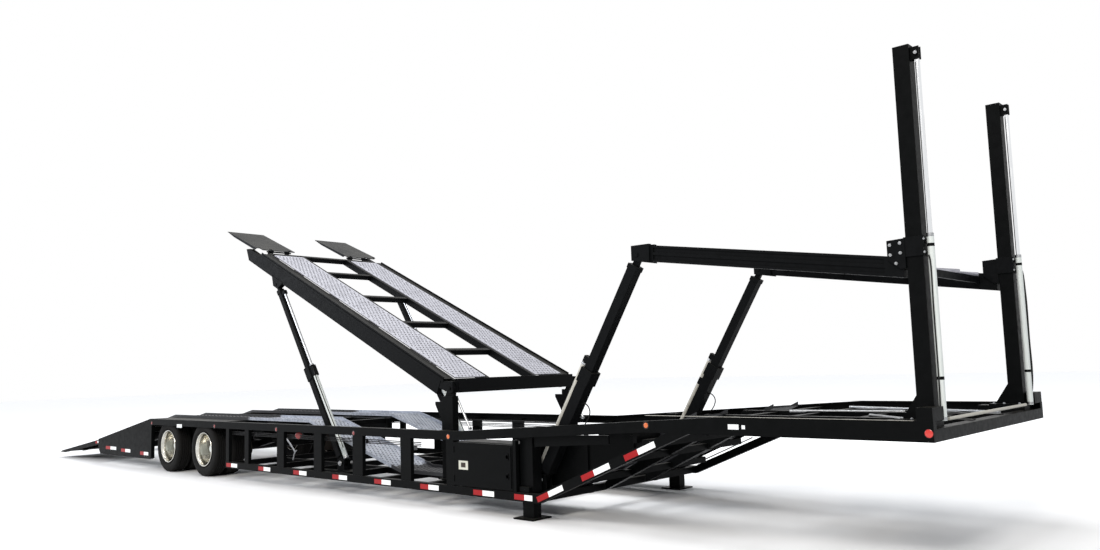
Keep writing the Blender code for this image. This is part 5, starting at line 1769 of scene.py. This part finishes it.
for side_name, side in SIDES:
    strut = bmesh.new()
    ends = [at(d, z, side * STRUT_Y) for d, z in ((5.050, 1.100), (4.850, 0.775))]
    add_rod(strut, ends[0], ends[1], 0.013, 16)
    add_block(strut, 4.835, 4.865, side * 0.890, side * 0.915, 0.760, 0.785)
    make_piece(strut, "hinge_strut_" + side_name, bolt_zinc, "frame")

    pipes = bmesh.new()
    for z, y, front, rear, radius in RAIL_PIPES:
        add_rod(pipes, at(front, z, side * y), at(rear, z, side * y), radius, 12)
    make_piece(pipes, "brake_pipes_" + side_name, hose_rubber, "frame")
    clips = bmesh.new()
    for d in CLIP_PLACES:
        y_inner, y_outer = side * 1.2200, side * 1.2345
        add_block(clips, d - CLIP_HALF, d + CLIP_HALF, y_inner, y_outer, 0.596, 0.648)
    make_piece(clips, "pipe_clips_" + side_name, hose_rubber, "frame")
print(len(RAIL_PIPES), "pipes and", len(CLIP_PLACES), "clips a side")

# %% [markdown]
# ** Small lines and the valve block.** Through the windows of the right side one
# sees short bright lines and a valve block. Three more pipes lie on the neck. A
# light line on the top edge of the left slope rail is a painted highlight on
# that edge. Each line is a curve through three points.

# %% Small lines and the valve block
SMALL_LINES = (  # name, points as distance, height and y, radius
    ("belly_pipe", ((7.610, 0.472, -0.300), (7.200, 0.450, -0.300), (6.810, 0.428, -0.300)), 0.011),
    ("slope_pipe", ((7.498, 0.484, -0.360), (6.685, 0.370, -0.360), (6.155, 0.296, -0.360)), 0.007),
    ("valve_line", ((8.350, 0.618, -1.000), (8.100, 0.440, -1.000), (8.060, 0.400, -1.000)), 0.010),
    ("valve_drop", ((8.015, 0.427, -1.000), (8.060, 0.400, -1.000), (8.110, 0.298, -1.000)), 0.008),
    ("brake_hose_drop", ((9.546, 0.560, -1.100), (9.546, 0.400, -1.100), (9.546, 0.263, -1.100)), 0.006),
    ("neck_pipe_left", ((1.547, 0.930, 0.923), (0.892, 0.930, 0.721), (0.101, 0.930, 0.458)), 0.011),
    ("neck_pipe_middle", ((1.832, 0.925, 0.287), (1.300, 0.925, 0.370), (0.846, 0.925, 0.440)), 0.012),
    # A light line on the top edge of the left slope rail: a painted highlight on that edge.
    ("slope_pipe_left", ((3.485, 0.278, 1.200), (3.100, 0.441, 1.200), (2.762, 0.585, 1.200)), 0.007),
    ("neck_pipe_right", ((0.932, 0.925, -0.075), (0.700, 0.925, -0.280), (0.503, 0.925, -0.455)), 0.012),
)

for name, points, radius in SMALL_LINES:
    line = [at(*point) for point in points]
    tube_piece(name, line, radius, bolt_zinc, "frame")
valve = bmesh.new()
add_block(valve, 6.500, 6.600, -0.330, -0.280, 0.430, 0.485)
make_piece(valve, "valve_block", bolt_zinc, "frame")
print(len(SMALL_LINES), "small lines")

# %% [markdown]
# ** Edge highlights, hose trays and guide flanges.** The tops of the neck's side
# rails and its front edge get thin light grey strips, which are painted
# highlights where these edges catch the light. A tray for hoses hangs inside the
# slope of each side frame. The rear deck carries a flange along the outside of
# each tread, which keeps a wheel on it.

# %% Edge highlights, trays and flanges
TRAY_OUTLINE = (
    (3.63, 0.660),
    (3.30, 0.680),
    (2.75, 0.715),
    (2.75, 0.790),
    (3.30, 0.775),
    (3.63, 0.765),
)
FLANGE_FROM, FLANGE_TO = 0.120, 4.270
FLANGE_PARTS = (  # inner y, outer y, low and high above the hinge line
    (0.8920, 1.0000, 0.0500, 0.0560),
    (0.9940, 1.0000, 0.0180, 0.0740),
)

for side_name, side in SIDES:
    # A thin light grey strip on the rail's top: a painted highlight where the edge catches the light.
    worn = bmesh.new()
    add_block(worn, 0.130, 2.300, side * 1.2600, side * 1.2880, 0.9715, 0.9728)
    make_piece(worn, "worn_rail_top_" + side_name, dusty_barrel, "frame")
    tray = bmesh.new()
    add_prism(tray, TRAY_OUTLINE, side * 1.1950, side * 1.2150)
    make_piece(tray, "hose_tray_" + side_name, frame_enamel, "frame")
    flange = bmesh.new()
    for y_inner, y_outer, low, high in FLANGE_PARTS:
        corners = ((FLANGE_FROM, low), (FLANGE_TO, low), (FLANGE_TO, high), (FLANGE_FROM, high))
        outline = [on_deck(u, w) for u, w in corners]
        add_prism(flange, outline, side * y_inner, side * y_outer)
    make_piece(flange, "guide_flange_" + side_name, deck_enamel, "rear_deck")
# A light rod along the neck's front edge: a painted highlight on that edge.
edge = bmesh.new()
add_rod(edge, at(0.028, 0.966, -0.920), at(0.028, 0.966, 0.900), 0.0120, 12)
make_piece(edge, "worn_front_edge", dusty_barrel, "frame")
print("flanges run", round(FLANGE_TO - FLANGE_FROM, 2), "m along the rear deck")

# %% [markdown]
# **The floor.** It is pale and matt, as in a plain studio. Seen by the camera it
# glows a little, so it is lifted towards the white behind it. The lift grows
# with the distance from the trailer's footprint and is nothing under it, so the
# shadow keeps its strength.

# %% Floor
FLOOR_LIFT = 0.46
LIFT_FROM_Y = 1.4
LIFT_FULL_Y = 5.0
FOOTPRINT_HALF_LENGTH = 7.8
FLOOR_REACH = 60.0
FLOOR_HEIGHT = -0.5 * MM


def build_floor(material):
    mesh = bpy.data.meshes.new("floor")
    shape = bmesh.new()
    corners = ((-1, -1), (1, -1), (1, 1), (-1, 1))
    shape.faces.new(
        [shape.verts.new((x * FLOOR_REACH, y * FLOOR_REACH, FLOOR_HEIGHT)) for x, y in corners]
    )
    shape.to_mesh(mesh)
    shape.free()
    floor = bpy.data.objects.new("floor", mesh)
    bpy.context.scene.collection.objects.link(floor)
    floor.data.materials.append(material)
    return floor


floor_paint = grained(
    "pale_studio_floor", "e6e7e8", "e0e1e3", grain_mm=30.0, patch_mm=900.0, roughness=0.80, bump_mm=0.1
)
camera_sees = add_node(floor_paint, "ShaderNodeLightPath").outputs["Is Camera Ray"]
floor_place = add_node(floor_paint, "ShaderNodeTexCoord").outputs["Object"]
floor_axes = add_node(floor_paint, "ShaderNodeSeparateXYZ", links={"Vector": floor_place}).outputs
beside = add_node(
    floor_paint, "ShaderNodeMath", links={0: floor_axes["Y"]}, operation="ABSOLUTE"
).outputs["Value"]
along_x = add_node(
    floor_paint, "ShaderNodeMath", links={0: floor_axes["X"]}, operation="ABSOLUTE"
).outputs["Value"]
beyond = add_node(
    floor_paint,
    "ShaderNodeMath",
    {1: FOOTPRINT_HALF_LENGTH - LIFT_FROM_Y},
    {0: along_x},
    operation="SUBTRACT",
).outputs["Value"]
aside = add_node(
    floor_paint, "ShaderNodeMath", links={0: beside, 1: beyond}, operation="MAXIMUM"
).outputs["Value"]
glow = add_node(
    floor_paint,
    "ShaderNodeMapRange",
    {"From Min": LIFT_FROM_Y, "From Max": LIFT_FULL_Y, "To Min": 0.0, "To Max": FLOOR_LIFT},
    {"Value": aside},
).outputs["Result"]
lift = add_node(
    floor_paint,
    "ShaderNodeMath",
    links={0: camera_sees, 1: glow},
    operation="MULTIPLY",
).outputs["Value"]
feed(floor_paint, "Emission Strength", lift)
floor_shader = floor_paint.node_tree.nodes["Principled BSDF"]
floor_shader.inputs["Emission Color"].default_value = linear("ffffff")
build_floor(floor_paint)
print("the floor is lifted by", FLOOR_LIFT, "from", LIFT_FULL_Y, "m beside the middle line")

# %% [markdown]
# **Lights.** They are those of a plain studio: one large soft key from the front
# right, a wide fill and a top light. Large squares give soft shadows.

# %% Lights
LIGHTS = (  # name, place, target, size, energy, colour
    ("key", (10.0, -16.0, 14.0), (0.0, 0.0, 1.0), 9.0, 3200.0, "fff8ef"),
    ("fill", (-14.0, -12.0, 7.0), (-2.0, 0.0, 1.0), 8.0, 900.0, "eef4ff"),
    ("top", (0.0, 2.0, 16.0), (0.0, 0.0, 0.0), 12.0, 2300.0, "ffffff"),
)


def soft_light(name, place, target, size, energy, colour):
    data = bpy.data.lights.new(name, "AREA")
    data.shape = "SQUARE"
    data.size = size
    data.energy = energy
    data.color = linear(colour)[:3]
    light = bpy.data.objects.new(name, data)
    bpy.context.scene.collection.objects.link(light)
    light.location = place
    light.rotation_euler = (Vector(target) - Vector(place)).to_track_quat("-Z", "Y").to_euler()


for light_values in LIGHTS:
    soft_light(*light_values)
print("lights", [values[0] for values in LIGHTS])

# %% [markdown]
# **World.** What the camera or a mirror sees behind the trailer is white. What
# lights it from all round is a weaker, faintly blue white. A mix of two
# backgrounds keeps the two apart, by the kind of ray that asks.

# %% World
AMBIENT = 0.66

world = bpy.data.worlds.new("studio")
world.use_nodes = True
world.node_tree.nodes.clear()
ray = add_node(world, "ShaderNodeLightPath").outputs
seen = add_node(
    world,
    "ShaderNodeMath",
    links={0: ray["Is Camera Ray"], 1: ray["Is Glossy Ray"]},
    operation="MAXIMUM",
).outputs["Value"]
either = add_node(
    world,
    "ShaderNodeMath",
    links={0: seen, 1: ray["Is Transmission Ray"]},
    operation="MAXIMUM",
).outputs["Value"]
white = add_node(
    world, "ShaderNodeBackground", {"Color": linear("ffffff"), "Strength": 1.0}
).outputs["Background"]
ambient = add_node(
    world, "ShaderNodeBackground", {"Color": linear("eef1f5"), "Strength": AMBIENT}
).outputs["Background"]
choice = add_node(
    world, "ShaderNodeMixShader", links={"Fac": either, 1: ambient, 2: white}
).outputs["Shader"]
add_node(world, "ShaderNodeOutputWorld", links={"Surface": choice})
bpy.context.scene.world = world
bpy.context.scene.view_settings.view_transform = "Standard"
print("ambient light", AMBIENT, "of the white that is seen")
